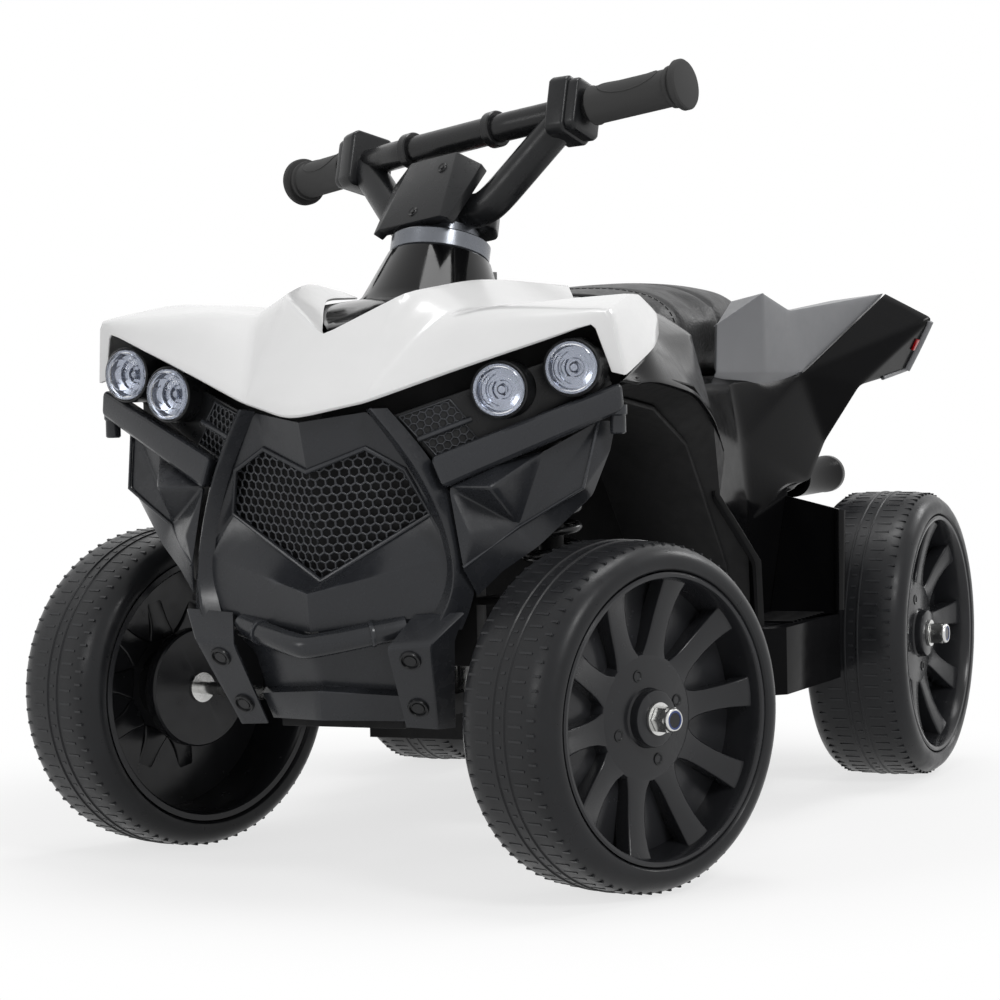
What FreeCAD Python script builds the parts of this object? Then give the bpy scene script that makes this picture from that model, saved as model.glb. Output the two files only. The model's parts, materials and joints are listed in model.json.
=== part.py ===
"""A battery-driven quad bike for small children, on its four wheels with the front pair turned right.

X points forward, Y to the rider's left and Z up. The origin lies on the ground under the middle of the box
that holds the bike as it stands. Lengths are millimetres and angles are degrees.
"""
import FreeCAD, Part
import math
import os

import Sketcher
from FreeCAD import Placement, Rotation, Vector

SIZES = {
    # wheels
    "tyre_radius": 97, "tyre_width": 69, "tyre_bore": 80, "tyre_crown_half": 22, "tyre_shoulder_drop": 5,
    "rim_lip_radius": 77, "rim_inset": 1.5, "spoke_disc_thickness": 10, "spoke_count": 10,
    "window_root": 42, "window_root_radius": 5, "window_top": 70, "window_half_width": 14.5,
    "hub_disc_radius": 31, "hub_core_radius": 24, "hub_boss_radius": 15.5, "hub_out": 26, "hub_in": 22,
    "hub_face": 19, "peg_circle": 20.5, "peg_radius": 2.5, "peg_depth": 6, "peg_count": 4,
    "axle_radius": 4, "axle_tail": 12.5, "washer_radius": 9, "washer_thickness": 1.6,
    "nut_radius": 7.5, "nut_height": 8,
    # where the wheels stand
    "front_axle_x": 209.3, "wheelbase": 455, "kingpin_y": 52, "stub_reach": 120, "rear_track_half": 168,
    "rest_steer": 22.5,
    # clearances and walls
    "run_gap": 0.05, "seat_gap": 0.3, "seam": 0.4, "wall": 2.6,
    # steering
    "rake": 19.1, "collar_x": 120.2, "collar_z": 360.9, "column_radius": 6, "column_length": 240,
    "crank_length": 30, "crank_radius": 3.4, "crank_reach": 24,
    "arm_thickness": 4.4, "arm_half_width": 7, "arm_rise": 6, "tie_pin_radius": 3, "tie_thickness": 5,
    "tie_half_width": 8, "tie_pin_tail": 4,
    "beam_front": 16.5, "beam_thickness": 12, "beam_half_width": 64, "beam_foot_half": 34,
    "beam_bottom": 119, "beam_top": 165, "sleeve_radius": 10, "kingpin_tail": 12,
    # front spring legs
    "spring_y": 104, "spring_radius": 15.5, "spring_wire": 2.3, "spring_turns": 6, "spring_low": 158,
    "spring_pitch": 11, "strut_radius": 7, "perch_radius": 20, "perch_thickness": 4, "strut_tail": 36,
    # handlebar, measured along and across the steering axis from the collar
    "bar_radius": 8, "bar_half_middle": 43.3, "bar_rise": 67.2, "bar_end_back": 24.2, "bar_end_y": 166.6,
    "bar_end_rise": 78.4, "arm_radius": 8.5, "arm_root_y": 13, "arm_root_rise": 14, "clamp_y": 90,
    "clamp_depth": 31, "clamp_width": 24, "clamp_height": 36, "neck_radius": 17.5, "neck_height": 9,
    "collar_radius": 28.5, "collar_height": 11, "grip_radius": 12, "grip_length": 63,
    "grip_flange_radius": 15, "grip_flange": 5, "console_thickness": 5, "console_lean": 6, "console_low": 20,
    "console_half": 40, "console_height": 46, "screw_radius": 3.2, "screw_head": 2,
    "shroud_foot_radius": 52, "shroud_top_radius": 29.5, "shroud_foot": 51,
    # chassis
    "sill_z": 120, "pan_bottom": 58, "pan_floor": 4, "pan_wall": 3, "pan_half": 72, "pan_front": -125,
    "pan_rear": -76, "tongue_bottom": 88, "tongue_top": 100, "tongue_half": 38, "tongue_front": 61.4,
    "deck_z": 275, "deck_thickness": 5, "deck_half": 79, "tunnel_half": 62, "tunnel_wall": 3,
    "tunnel_front": -222, "tunnel_rear": 80, "deck_rear": -2,
    # drive
    "gear_width": 9, "drive_module": 1.25, "fast_module": 1.0, "wheel_teeth": 40, "small_teeth": 12,
    "gear_pressure": 25, "gear_tip": 0.85, "gear_root": 1.15, "gear_play": 0.09,
    "gear_inboard": 18, "gear_shaft_radius": 3, "case_wall": 2.5, "case_gap": 2, "motor_radius": 17.5,
    "motor_length": 52, "sleeve_drive_radius": 11, "drive_flange_radius": 28, "drive_flange": 4,
    "battery_length": 70, "battery_width": 47, "battery_height": 101, "battery_x": 190,
    "box_length": 56, "box_width": 42, "box_height": 18, "box_x": 268,
    # footrests and the pedal on the right one
    "foot_front": -220, "foot_rear": 112, "foot_half": 166, "foot_nose_half": 146,
    "foot_corner": 18, "foot_tuck": 14, "foot_thickness": 42, "foot_wall": 3,
    "pedal_hinge_x": -324, "pedal_hinge_rise": 7, "pedal_length": 60,
    "pedal_width": 36, "pedal_y": 139, "pedal_thickness": 4, "pedal_tilt": 12, "pedal_pin_radius": 2,
    "pedal_barrel_radius": 4, "pedal_lug": 4,
    # switches behind the handlebar
    "panel_x": -165, "panel_y": -36, "panel_length": 46, "panel_width": 60, "panel_height": 14,
    "panel_rise": 211.6,
    "rocker_radius": 9, "rocker_length": 14, "rocker_y": 17, "rocker_up": 5, "rocker_down": 6,
    "rocker_tilt": 7, "rocker_sink": 1,
    # lamps, tail pipes and fasteners
    "lamp_radius": 14.3, "lamp_pod_length": 24, "reflector_depth": 12, "lamp_yaw": 11,
    "lens_dome": 5, "lens_wall": 1.2,
    "pipe_radius": 12.5, "pipe_length": 80, "pipe_y": 104.6, "pipe_z": 203, "pipe_bore": 9, "pipe_front": 18,
    "bolt_radius": 6, "bolt_length": 7, "grille_pitch": 9.5, "grille_hole": 3.9, "grille_thickness": 2,
    "tail_lamp_depth": 8, "tail_lamp_width": 20, "tail_lamp_height": 24,
    "tail_lamp_x": -104, "tail_lamp_y": 127.8, "tail_lamp_rise": 158, "liner_width": 62, "battery_post": 5,
    "guard_bar_radius": 6.5, "guard_bar_x": 91, "guard_bar_half": 46, "guard_bar_rise": 20,
}

doc = FreeCAD.newDocument("quad_bike")
sheet = doc.addObject("Spreadsheet::Sheet", "Sizes")
for row, (alias, value) in enumerate(SIZES.items(), start=1):
    sheet.set(f"A{row}", alias)
    sheet.set(f"B{row}", str(value))
    sheet.setAlias(f"B{row}", alias)
doc.recompute()

X_AXIS, Y_AXIS, Z_AXIS = Vector(1, 0, 0), Vector(0, 1, 0), Vector(0, 0, 1)
UPRIGHT = Rotation()
# Turns that carry a local Z axis onto +Y, -Y and +X.
TO_LEFT = Rotation(X_AXIS, -90)
TO_RIGHT = Rotation(X_AXIS, 90)
TO_FRONT = Rotation(Y_AXIS, 90)
NODES = {}


class Size:
    """A number from the sheet together with the expression that binds a property to it."""

    def __init__(self, number, text):
        self.number = number
        self.text = text

    @staticmethod
    def of(value):
        return value if isinstance(value, Size) else Size(float(value), f"({float(value)!r})")

    def joined(self, other, sign, number):
        return Size(number, f"({self.text} {sign} {Size.of(other).text})")

    def __add__(self, other):
        return self.joined(other, "+", self.number + Size.of(other).number)

    def __sub__(self, other):
        return self.joined(other, "-", self.number - Size.of(other).number)

    def __mul__(self, other):
        return self.joined(other, "*", self.number * Size.of(other).number)

    def __truediv__(self, other):
        return self.joined(other, "/", self.number / Size.of(other).number)

    def __radd__(self, other):
        return Size.of(other) + self

    def __rsub__(self, other):
        return Size.of(other) - self

    def __rmul__(self, other):
        return Size.of(other) * self

    def __neg__(self):
        return Size.of(0) - self


def size(alias):
    """The sheet's value of that name, bound to its cell."""
    return Size(float(sheet.get(alias)), f"Sizes.{alias}")


def num(alias):
    """The sheet's value of that name as a plain number."""
    return float(sheet.get(alias))


def plain(value):
    return value.number if isinstance(value, Size) else float(value)


def bind(thing, prop, value):
    thing.setExpression(prop, Size.of(value).text)


def place(thing, at, turn=UPRIGHT):
    """Turns an object and binds its position to the sheet."""
    thing.Placement = Placement(Vector(*(plain(v) for v in at)), turn)
    for axis, value in zip("xyz", at):
        bind(thing, f"Placement.Base.{axis}", value)
    return thing


def node(label, thing):
    """Names a finished sub-part, which is then written to its own file."""
    thing.Label = label
    NODES[label] = thing
    return thing


def box(name, lengths, at, turn=UPRIGHT):
    """A block from the corner nearest its local origin."""
    thing = doc.addObject("Part::Box", name)
    for prop, value in zip(("Length", "Width", "Height"), lengths):
        bind(thing, prop, value)
    return place(thing, at, turn)


def rod(name, radius, length, at, turn=UPRIGHT):
    thing = doc.addObject("Part::Cylinder", name)
    bind(thing, "Radius", radius)
    bind(thing, "Height", length)
    return place(thing, at, turn)


def plug(name, radius, length, spot, start):
    """A cylinder on the local Z axis of a placement, from a given distance along it."""
    thing = doc.addObject("Part::Cylinder", name)
    bind(thing, "Radius", radius)
    bind(thing, "Height", length)
    thing.Placement = spot * Placement(Z_AXIS * plain(start), UPRIGHT)
    return thing


def ball(name, radius, at):
    thing = doc.addObject("Part::Sphere", name)
    bind(thing, "Radius", radius)
    return place(thing, at)


def bar_between(name, radius, start, end):
    """A round bar between two points that are given as sizes."""
    first = Vector(*(plain(v) for v in start))
    run = Vector(*(plain(v) for v in end)) - first
    return rod(name, radius, run.Length, start, Rotation(Z_AXIS, run))


def fuse(name, things):
    thing = doc.addObject("Part::MultiFuse", name)
    thing.Shapes = things
    thing.Refine = False
    return thing


def cut(name, base, tool):
    thing = doc.addObject("Part::Cut", name)
    thing.Base = base
    thing.Tool = tool
    thing.Refine = False
    return thing


def group(name, things):
    """Several separate solids that belong to one node."""
    thing = doc.addObject("Part::Compound", name)
    thing.Links = things
    return thing


def mirrored(name, source):
    thing = doc.addObject("Part::Mirroring", name)
    thing.Source = source
    thing.Normal = Y_AXIS
    return thing


def solid_feature(name, shape, placement=None):
    thing = doc.addObject("Part::Feature", name)
    thing.Shape = shape
    if placement:
        thing.Placement = placement
    return thing


def origin_feature(body, role):
    return next(f for f in body.Origin.OriginFeatures if f.Role == role)


def new_sketch(body, role):
    sketch = body.newObject("Sketcher::SketchObject", body.Name + "_sketch")
    sketch.AttachmentSupport = [(origin_feature(body, role), "")]
    sketch.MapMode = "FlatFace"
    return sketch


def pin_point(sketch, edge, end, x, y):
    """Holds one end of a sketch line at a place that is bound to the sheet."""
    for kind, value, axis in (("DistanceX", x, -2), ("DistanceY", y, -1)):
        if plain(value) == 0:
            sketch.addConstraint(Sketcher.Constraint("PointOnObject", edge, end, axis))
            continue
        index = sketch.addConstraint(Sketcher.Constraint(kind, edge, end, plain(value)))
        if isinstance(value, Size):
            sketch.setExpression(f"Constraints[{index}]", value.text)


def outline(body, role, points):
    """A closed sketch of straight lines through the points."""
    sketch = new_sketch(body, role)
    corners = [Vector(plain(x), plain(y), 0) for x, y in points]
    count = len(corners)
    for i in range(count):
        sketch.addGeometry(Part.LineSegment(corners[i], corners[(i + 1) % count]), False)
    for i in range(count):
        sketch.addConstraint(Sketcher.Constraint("Coincident", i, 2, (i + 1) % count, 1))
    for i, (x, y) in enumerate(points):
        pin_point(sketch, i, 1, x, y)
    return sketch


def circles(body, role, spots):
    """A sketch of circles, each given as x, y and radius."""
    sketch = new_sketch(body, role)
    for i, (x, y, radius) in enumerate(spots):
        centre = Vector(plain(x), plain(y), 0)
        sketch.addGeometry(Part.Circle(centre, Z_AXIS, plain(radius)), False)
        pin_point(sketch, i, 3, x, y)
        index = sketch.addConstraint(Sketcher.Constraint("Radius", i, plain(radius)))
        if isinstance(radius, Size):
            sketch.setExpression(f"Constraints[{index}]", radius.text)
    return sketch


def new_body(name):
    return doc.addObject("PartDesign::Body", name)


def revolve(body, points):
    """Turns a profile of (radius, height) points about the body's own Z axis."""
    feature = body.newObject("PartDesign::Revolution", body.Name + "_turned")
    sketch = outline(body, "XZ_Plane", points)
    feature.Profile = (sketch, [""])
    feature.ReferenceAxis = (sketch, ["V_Axis"])
    feature.Angle = 360
    body.Tip = feature
    return feature


def pad(body, sketch, length):
    feature = body.newObject("PartDesign::Pad", body.Name + "_pad")
    feature.Profile = (sketch, [""])
    bind(feature, "Length", length)
    body.Tip = feature
    return feature


def through_pocket(body, sketch):
    """Cuts the sketch through the whole body, both ways from its plane."""
    feature = body.newObject("PartDesign::Pocket", body.Name + "_cut")
    feature.Profile = (sketch, [""])
    feature.Midplane = True
    feature.Length = 4 * num("tyre_radius")
    body.Tip = feature
    return feature


def pocket(body, sketch, depth, reverse):
    feature = body.newObject("PartDesign::Pocket", body.Name + "_pocket")
    feature.Profile = (sketch, [""])
    feature.Reversed = reverse
    bind(feature, "Length", depth)
    body.Tip = feature
    return feature


def round_pattern(body, original, count):
    feature = body.newObject("PartDesign::PolarPattern", body.Name + "_ring")
    feature.Originals = [original]
    feature.Axis = (origin_feature(body, "Z_Axis"), [""])
    feature.Angle = 360
    bind(feature, "Occurrences", count)
    body.Tip = feature
    return feature


def turned(name, points):
    body = new_body(name)
    revolve(body, points)
    return body


def prism(name, points, length):
    """A flat outline in local X and Y, drawn up along local Z."""
    body = new_body(name)
    pad(body, outline(body, "XY_Plane", points), length)
    return body


def triangles(face):
    """Splits a face of three or more corners into triangles round its first corner."""
    return [(face[0], face[i], face[i + 1]) for i in range(1, len(face) - 1)]


def skin_shape(corners, faces, push):
    """A moulded wall: outer faces, the same faces pushed inwards by one wall, and the rim between them."""
    middle = sum(corners.values(), Vector()) / len(corners)
    outer = {}
    for name, point in corners.items():
        inward = middle - point
        outer[name] = point + inward.normalize() * num("seam")
    inner = {name: point + push(corners[name]) for name, point in outer.items()}
    tris = [t for face in faces for t in triangles(face)]
    edges = {}
    for a, b, c in tris:
        for pair in ((a, b), (b, c), (c, a)):
            edges[pair] = True
    rims = [(a, b) for a, b in edges if (b, a) not in edges]
    walls = [tuple(outer[n] for n in t) for t in tris]
    walls += [tuple(inner[n] for n in reversed(t)) for t in tris]
    for a, b in rims:
        walls += [(outer[b], outer[a], inner[a]), (outer[b], inner[a], inner[b])]
    shell = Part.Shell([Part.Face(Part.makePolygon([*w, w[0]])) for w in walls])
    shape = Part.Solid(shell)
    if shape.Volume < 0:
        shape.reverse()
    return shape


def both_sides(corners, faces):
    """Adds the mirror image across the middle plane of a skin that is drawn for the left side."""
    twin = {name: name if point.y == 0 else "right " + name for name, point in corners.items()}
    whole = dict(corners)
    for name, point in corners.items():
        whole[twin[name]] = Vector(point.x, -point.y, point.z)
    return whole, faces + [tuple(twin[n] for n in reversed(face)) for face in faces]


def inwards(forward, sideways, upward):
    """A push of one wall thickness against the given outward direction, the same on both sides of the bike."""
    def push(point):
        side = 0 if point.y == 0 else math.copysign(sideways, point.y)
        return Vector(forward, side, upward) * -num("wall")
    return push


def from_front(**corners):
    """Corners measured from the front axle line and from the sill."""
    datum = Vector(num("front_axle_x"), 0, num("sill_z"))
    return {name: datum + Vector(*xyz) for name, xyz in corners.items()}


def from_rear(**corners):
    """Corners measured from the rear axle line and from the sill."""
    datum = Vector(num("front_axle_x") - num("wheelbase"), 0, num("sill_z"))
    return {name: datum + Vector(*xyz) for name, xyz in corners.items()}


FRONT_X = size("front_axle_x")
REAR_X = size("front_axle_x") - size("wheelbase")
HUB_Z = size("tyre_radius")
SILL = size("sill_z")
LEFT, RIGHT = 1, -1
SIDES = {"left": LEFT, "right": RIGHT}


def outboard(side):
    """The turn that points a wheel's own axis away from the bike."""
    return TO_LEFT if side == LEFT else TO_RIGHT


def steer_turn(side):
    """Carries a piece drawn for straight-ahead travel to the turned rest position about its kingpin."""
    pivot = Vector(num("front_axle_x"), side * num("kingpin_y"), 0)
    turn = Placement(Vector(), Rotation(Z_AXIS, -num("rest_steer")))
    return Placement(pivot, UPRIGHT) * turn * Placement(-pivot, UPRIGHT)


def bar_turn():
    """The frame of the handlebar: local Z runs up the raked column and local X points ahead."""
    lean = Rotation(Y_AXIS, -num("rake"))
    turn = Rotation(Z_AXIS, -num("rest_steer"))
    return Placement(Vector(num("collar_x"), 0, num("collar_z")), lean * turn)


def raked():
    """The same frame for the pieces round the column that do not turn."""
    return Placement(Vector(num("collar_x"), 0, num("collar_z")), Rotation(Y_AXIS, -num("rake")))


def make_tyre(name):
    half = size("tyre_width") / 2
    crown = size("tyre_crown_half")
    radius, drop, bore = size("tyre_radius"), size("tyre_shoulder_drop"), size("tyre_bore")
    right_half = [(radius, crown), (radius - drop, (half + crown) / 2), (radius - 2 * drop, half),
                  (bore + drop, half), (bore, half - size("rim_inset"))]
    left_half = [(r, -z) for r, z in reversed(right_half)]
    return turned(name, left_half + right_half)


def make_rim(name):
    """Barrel, ten-window spoke disc and hub, bored for the axle, with four drive sockets on the inner face."""
    half = size("tyre_width") / 2 - size("rim_inset")
    bore = size("axle_radius") + size("run_gap")
    seat = size("tyre_bore") - size("run_gap")
    lip, disc = size("rim_lip_radius"), size("hub_disc_radius")
    core, boss = size("hub_core_radius"), size("hub_boss_radius")
    face, hub_out, hub_in = size("hub_face"), size("hub_out"), size("hub_in")
    plate = size("spoke_disc_thickness")
    body = new_body(name)
    revolve(body, [
        (bore, -hub_in), (disc, -hub_in), (disc, -hub_in + plate), (core, -hub_in + plate),
        (core, face - 1.5 * plate), (lip - 2, face - 1.4 * plate), (lip, -half), (seat, -half), (seat, half),
        (lip, half), (lip - 3, face - 0.2 * plate), (disc, face - 0.5 * plate), (disc, face), (boss, face),
        (boss, hub_out), (bore, hub_out)])
    round_pattern(body, through_pocket(body, window(body)), size("spoke_count"))
    socket = circles(body, "XY_Plane", [(size("peg_circle"), 0, size("peg_radius") + size("seat_gap"))])
    bind(socket, "AttachmentOffset.Base.z", -hub_in)
    round_pattern(body, pocket(body, socket, size("peg_depth") + size("seat_gap"), True), size("peg_count"))
    return body


def window(body):
    """One opening between two spokes: round at the hub end, closed by an arc at the rim."""
    root, small = num("window_root"), num("window_root_radius")
    top, half = num("window_top"), num("window_half_width")
    far = math.sqrt(top * top - half * half)
    spread = math.asin(half / top)
    sketch = new_sketch(body, "XY_Plane")
    sketch.addGeometry(Part.LineSegment(Vector(root, small, 0), Vector(far, half, 0)), False)
    sketch.addGeometry(Part.ArcOfCircle(Part.Circle(Vector(), Z_AXIS, top), -spread, spread), False)
    sketch.addGeometry(Part.LineSegment(Vector(far, -half, 0), Vector(root, -small, 0)), False)
    end = Part.Circle(Vector(root, 0, 0), Z_AXIS, small)
    sketch.addGeometry(Part.ArcOfCircle(end, math.pi / 2, 3 * math.pi / 2), False)
    for edge, tip, other, start in ((0, 2, 1, 2), (1, 1, 2, 1), (2, 2, 3, 2), (3, 1, 0, 1)):
        sketch.addConstraint(Sketcher.Constraint("Coincident", edge, tip, other, start))
    sketch.addConstraint(Sketcher.Constraint("Coincident", 1, 3, -1, 1))
    pin_point(sketch, 0, 1, size("window_root"), size("window_root_radius"))
    pin_point(sketch, 3, 3, size("window_root"), 0)
    index = sketch.addConstraint(Sketcher.Constraint("DistanceX", 2, 2, root))
    sketch.setExpression(f"Constraints[{index}]", "Sizes.window_root")
    for edge, end_index, sign in ((0, 2, 1), (2, 1, -1)):
        index = sketch.addConstraint(Sketcher.Constraint("DistanceY", edge, end_index, sign * half))
        sketch.setExpression(f"Constraints[{index}]", (sign * size("window_half_width")).text)
    index = sketch.addConstraint(Sketcher.Constraint("Radius", 1, top))
    sketch.setExpression(f"Constraints[{index}]", "Sizes.window_top")
    return sketch


def washer(name, at, turn):
    bore = size("axle_radius") + size("run_gap")
    radius, thick = size("washer_radius"), size("washer_thickness")
    ring = turned(name, [(bore, 0), (radius, 0), (radius, thick), (bore, thick)])
    return place(ring, at, turn)


def nut(name, at, turn):
    """A hexagon lock nut with a round crown."""
    reach = size("nut_radius")
    angles = [math.radians(a) for a in range(0, 360, 60)]
    corners = [(reach * math.cos(a), reach * math.sin(a)) for a in angles]
    body = new_body(name)
    pad(body, outline(body, "XY_Plane", corners), size("nut_height"))
    through_pocket(body, circles(body, "XY_Plane", [(0, 0, size("axle_radius") + size("run_gap"))]))
    return place(body, at, turn)


def axle_fasteners(name, x, middle, side):
    """An inner washer, an outer washer and a lock nut on one wheel's axle."""
    gap, thick, hub_out = size("seat_gap"), size("washer_thickness"), size("hub_out")
    turn = outboard(side)
    spots = {"inner": -size("hub_in") - gap - thick, "outer": hub_out + gap}
    rings = [washer(f"{name}_{key}", (x, middle + side * reach, HUB_Z), turn) for key, reach in spots.items()]
    lock = nut(f"{name}_nut", (x, middle + side * (hub_out + 2 * gap + thick), HUB_Z), turn)
    return [*rings, lock]


def make_wheels():
    for side_name, side in SIDES.items():
        reach = side * (num("kingpin_y") + num("stub_reach"))
        straight = Vector(num("front_axle_x"), reach, num("tyre_radius"))
        for make, what in ((make_tyre, "tyre"), (make_rim, "rim")):
            front = node(f"front_{side_name}_{what}", make(f"front_{side_name}_{what}"))
            front.Placement = steer_turn(side) * Placement(straight, outboard(side))
            rear = node(f"rear_{side_name}_{what}", make(f"rear_{side_name}_{what}"))
            place(rear, (REAR_X, side * size("rear_track_half"), HUB_Z), outboard(side))


def make_knuckles():
    """Each front wheel turns on an L-shaped steel knuckle: a kingpin, a stub axle and a steering arm."""
    pin_x = FRONT_X - size("crank_length")
    arm_low, shoulder_top = HUB_Z + size("arm_rise"), size("beam_bottom") - size("seat_gap")
    for side_name, side in SIDES.items():
        y = side * size("kingpin_y")
        reach = size("stub_reach") + size("hub_out") + size("axle_tail")
        pin_height = size("arm_thickness") + size("seat_gap") + size("tie_thickness") + size("tie_pin_tail")
        half = size("arm_half_width")
        top = size("beam_top") + size("kingpin_tail")
        name = f"{side_name}_knuckle"
        parts = [
            rod(name + "_stub", size("axle_radius"), reach, (FRONT_X, y, HUB_Z), outboard(side)),
            rod(name + "_kingpin", size("axle_radius"), top - HUB_Z, (FRONT_X, y, HUB_Z)),
            rod(name + "_shoulder", half + 1, shoulder_top - arm_low, (FRONT_X, y, arm_low)),
            ball(name + "_elbow", size("axle_radius"), (FRONT_X, y, HUB_Z)),
            box(name + "_arm", (size("crank_length") + half, 2 * half, size("arm_thickness")),
                (pin_x - half, y - half, arm_low)),
            rod(name + "_pin", size("tie_pin_radius"), pin_height, (pin_x, y, arm_low)),
        ]
        knuckle = node(name, fuse(name, parts))
        knuckle.Placement = steer_turn(side)
        wheel_y = side * (size("kingpin_y") + size("stub_reach"))
        above = size("beam_top") + size("seat_gap")
        fasteners = axle_fasteners(f"{side_name}_axle", FRONT_X, wheel_y, side)
        nut_foot = above + size("washer_thickness") + size("seat_gap")
        fasteners.append(washer(f"{side_name}_kingpin_washer", (FRONT_X, y, above), UPRIGHT))
        fasteners.append(nut(f"{side_name}_kingpin_nut", (FRONT_X, y, nut_foot), UPRIGHT))
        hardware = node(f"{side_name}_axle_fasteners", group(f"{side_name}_axle_fasteners", fasteners))
        hardware.Placement = steer_turn(side)


def make_tie_rod():
    """A flat bar between the two steering arms, slotted in the middle for the column's crank pin."""
    half, ends = size("tie_half_width"), size("kingpin_y") + size("tie_half_width")
    tab, tab_half = 2 * half, 1.6 * half
    bar = new_body("tie_rod")
    pad(bar, outline(bar, "XY_Plane", [
        (half, -ends), (half, ends), (-half, ends), (-half, tab), (-tab, tab_half), (-tab, -tab_half),
        (-half, -tab), (-half, -ends)]), size("tie_thickness"))
    pin = size("tie_pin_radius")
    through_pocket(bar, circles(bar, "XY_Plane", [
        (0, size("kingpin_y"), pin + size("run_gap")), (0, -size("kingpin_y"), pin + size("seat_gap"))]))
    rake, turn = math.radians(num("rake")), math.radians(num("rest_steer"))
    low = num("tyre_radius") + num("arm_rise") + num("arm_thickness") + num("seat_gap")
    middle = low + num("tie_thickness") / 2
    column_x = num("collar_x") + (num("collar_z") - middle) * math.tan(rake)
    crank = num("crank_length")
    slot_x = column_x - num("front_axle_x") - crank * math.cos(turn) * (1 / math.cos(rake) - 1)
    pin_half = num("crank_radius") + num("seat_gap")
    slot_half = pin_half / math.cos(rake) + num("tie_thickness") / 2 * math.tan(rake)
    through_pocket(bar, outline(bar, "XY_Plane", [
        (slot_x - slot_half, -pin_half), (slot_x + slot_half, -pin_half),
        (slot_x + slot_half, pin_half), (slot_x - slot_half, pin_half)]))
    bar.Placement = Placement(
        Vector(num("front_axle_x") - crank * math.cos(turn), crank * math.sin(turn), low), UPRIGHT)
    node("tie_rod", bar)


def make_column():
    """The steering column ends in a crank whose pin works in the tie rod's slot."""
    low, crank = -size("column_length"), -size("crank_length")
    parts = [
        rod("column_rod", size("column_radius"), size("collar_height") - size("seat_gap") - low, (0, 0, low)),
        ball("column_knee", size("column_radius"), (0, 0, low)),
        bar_between("column_crank", size("column_radius") - 1, (0, 0, low), (crank, 0, low)),
        ball("column_elbow", size("column_radius") - 1, (crank, 0, low)),
        rod("column_pin", size("crank_radius"), size("crank_reach"), (crank, 0, low - size("crank_reach"))),
    ]
    column = node("steering_column", fuse("steering_column", parts))
    column.Placement = bar_turn()


def bar_ends(side):
    """The bend and the outer end of the handlebar tube on one side, as sizes in the steering frame."""
    bend = (0, side * size("bar_half_middle"), size("bar_rise"))
    end = (-size("bar_end_back"), side * size("bar_end_y"), size("bar_end_rise"))
    return bend, end


def along_bar(side, y):
    """The bar's centre at a given distance from the middle of the bike."""
    bend, end = bar_ends(side)
    share = (y - size("bar_half_middle")) / (size("bar_end_y") - size("bar_half_middle"))
    return tuple(b + share * (e - b) for b, e in zip(bend, end))


def bar_tube(name, radius, short):
    """The bent handlebar tube, which stops short of the grips' closed ends."""
    parts = []
    for side_name, side in SIDES.items():
        bend, _ = bar_ends(side)
        tip = along_bar(side, size("bar_end_y") - short)
        parts.append(bar_between(f"{name}_{side_name}", radius, bend, tip))
        parts.append(ball(f"{name}_{side_name}_bend", radius, bend))
    left_bend, right_bend = bar_ends(LEFT)[0], bar_ends(RIGHT)[0]
    parts.append(bar_between(name + "_middle", radius, right_bend, left_bend))
    return fuse(name, parts)


def make_handlebar():
    tube = node("handlebar_tube", bar_tube("handlebar_tube", size("bar_radius"), size("grip_flange")))
    tube.Placement = bar_turn()
    wide, step, narrow = size("collar_radius"), size("collar_height"), size("neck_radius")
    top = step + size("neck_height")
    neck = turned("yoke_collar", [(0, 0), (wide, 0), (wide, step), (narrow, step), (narrow, top), (0, top)])
    parts = [neck]
    for side_name, side in SIDES.items():
        root = (0, side * size("arm_root_y"), size("arm_root_rise"))
        middle = along_bar(side, size("clamp_y"))
        parts.append(bar_between(f"yoke_arm_{side_name}", size("arm_radius"), root, middle))
        corner = tuple(m - size(s) / 2 for m, s in zip(middle, ("clamp_depth", "clamp_width", "clamp_height")))
        parts.append(box(f"yoke_clamp_{side_name}",
                         (size("clamp_depth"), size("clamp_width"), size("clamp_height")), corner))
    column_bore = rod("yoke_column_bore", size("column_radius") + size("run_gap"), 2 * size("collar_height"),
                      (0, 0, -size("collar_height")))
    bar_bore = bar_tube("yoke_bar_bore", size("bar_radius") + size("run_gap"), size("grip_flange"))
    bores = fuse("yoke_bores", [column_bore, bar_bore])
    yoke = node("handlebar_yoke", cut("handlebar_yoke", fuse("yoke_body", parts), bores))
    yoke.Placement = bar_turn()


def make_grips():
    """Sleeves with a closed, flanged outer end and a smaller flange at the inner end."""
    bore, radius, length = size("bar_radius") + size("run_gap"), size("grip_radius"), size("grip_length")
    flange, wide = size("grip_flange"), size("grip_flange_radius")
    cap = flange - 2 * size("seat_gap")
    for side_name, side in SIDES.items():
        grip = node(f"{side_name}_grip", turned(f"{side_name}_grip", [
            (bore, -length), (wide - 1, -length), (wide - 1, flange - length), (radius, flange - length),
            (radius, -flange), (wide, -flange), (wide, 0), (0, 0), (0, -cap), (bore, -cap)]))
        bend, end = (Vector(*(plain(v) for v in point)) for point in bar_ends(side))
        grip.Placement = bar_turn() * Placement(end, Rotation(Z_AXIS, end - bend))


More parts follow.
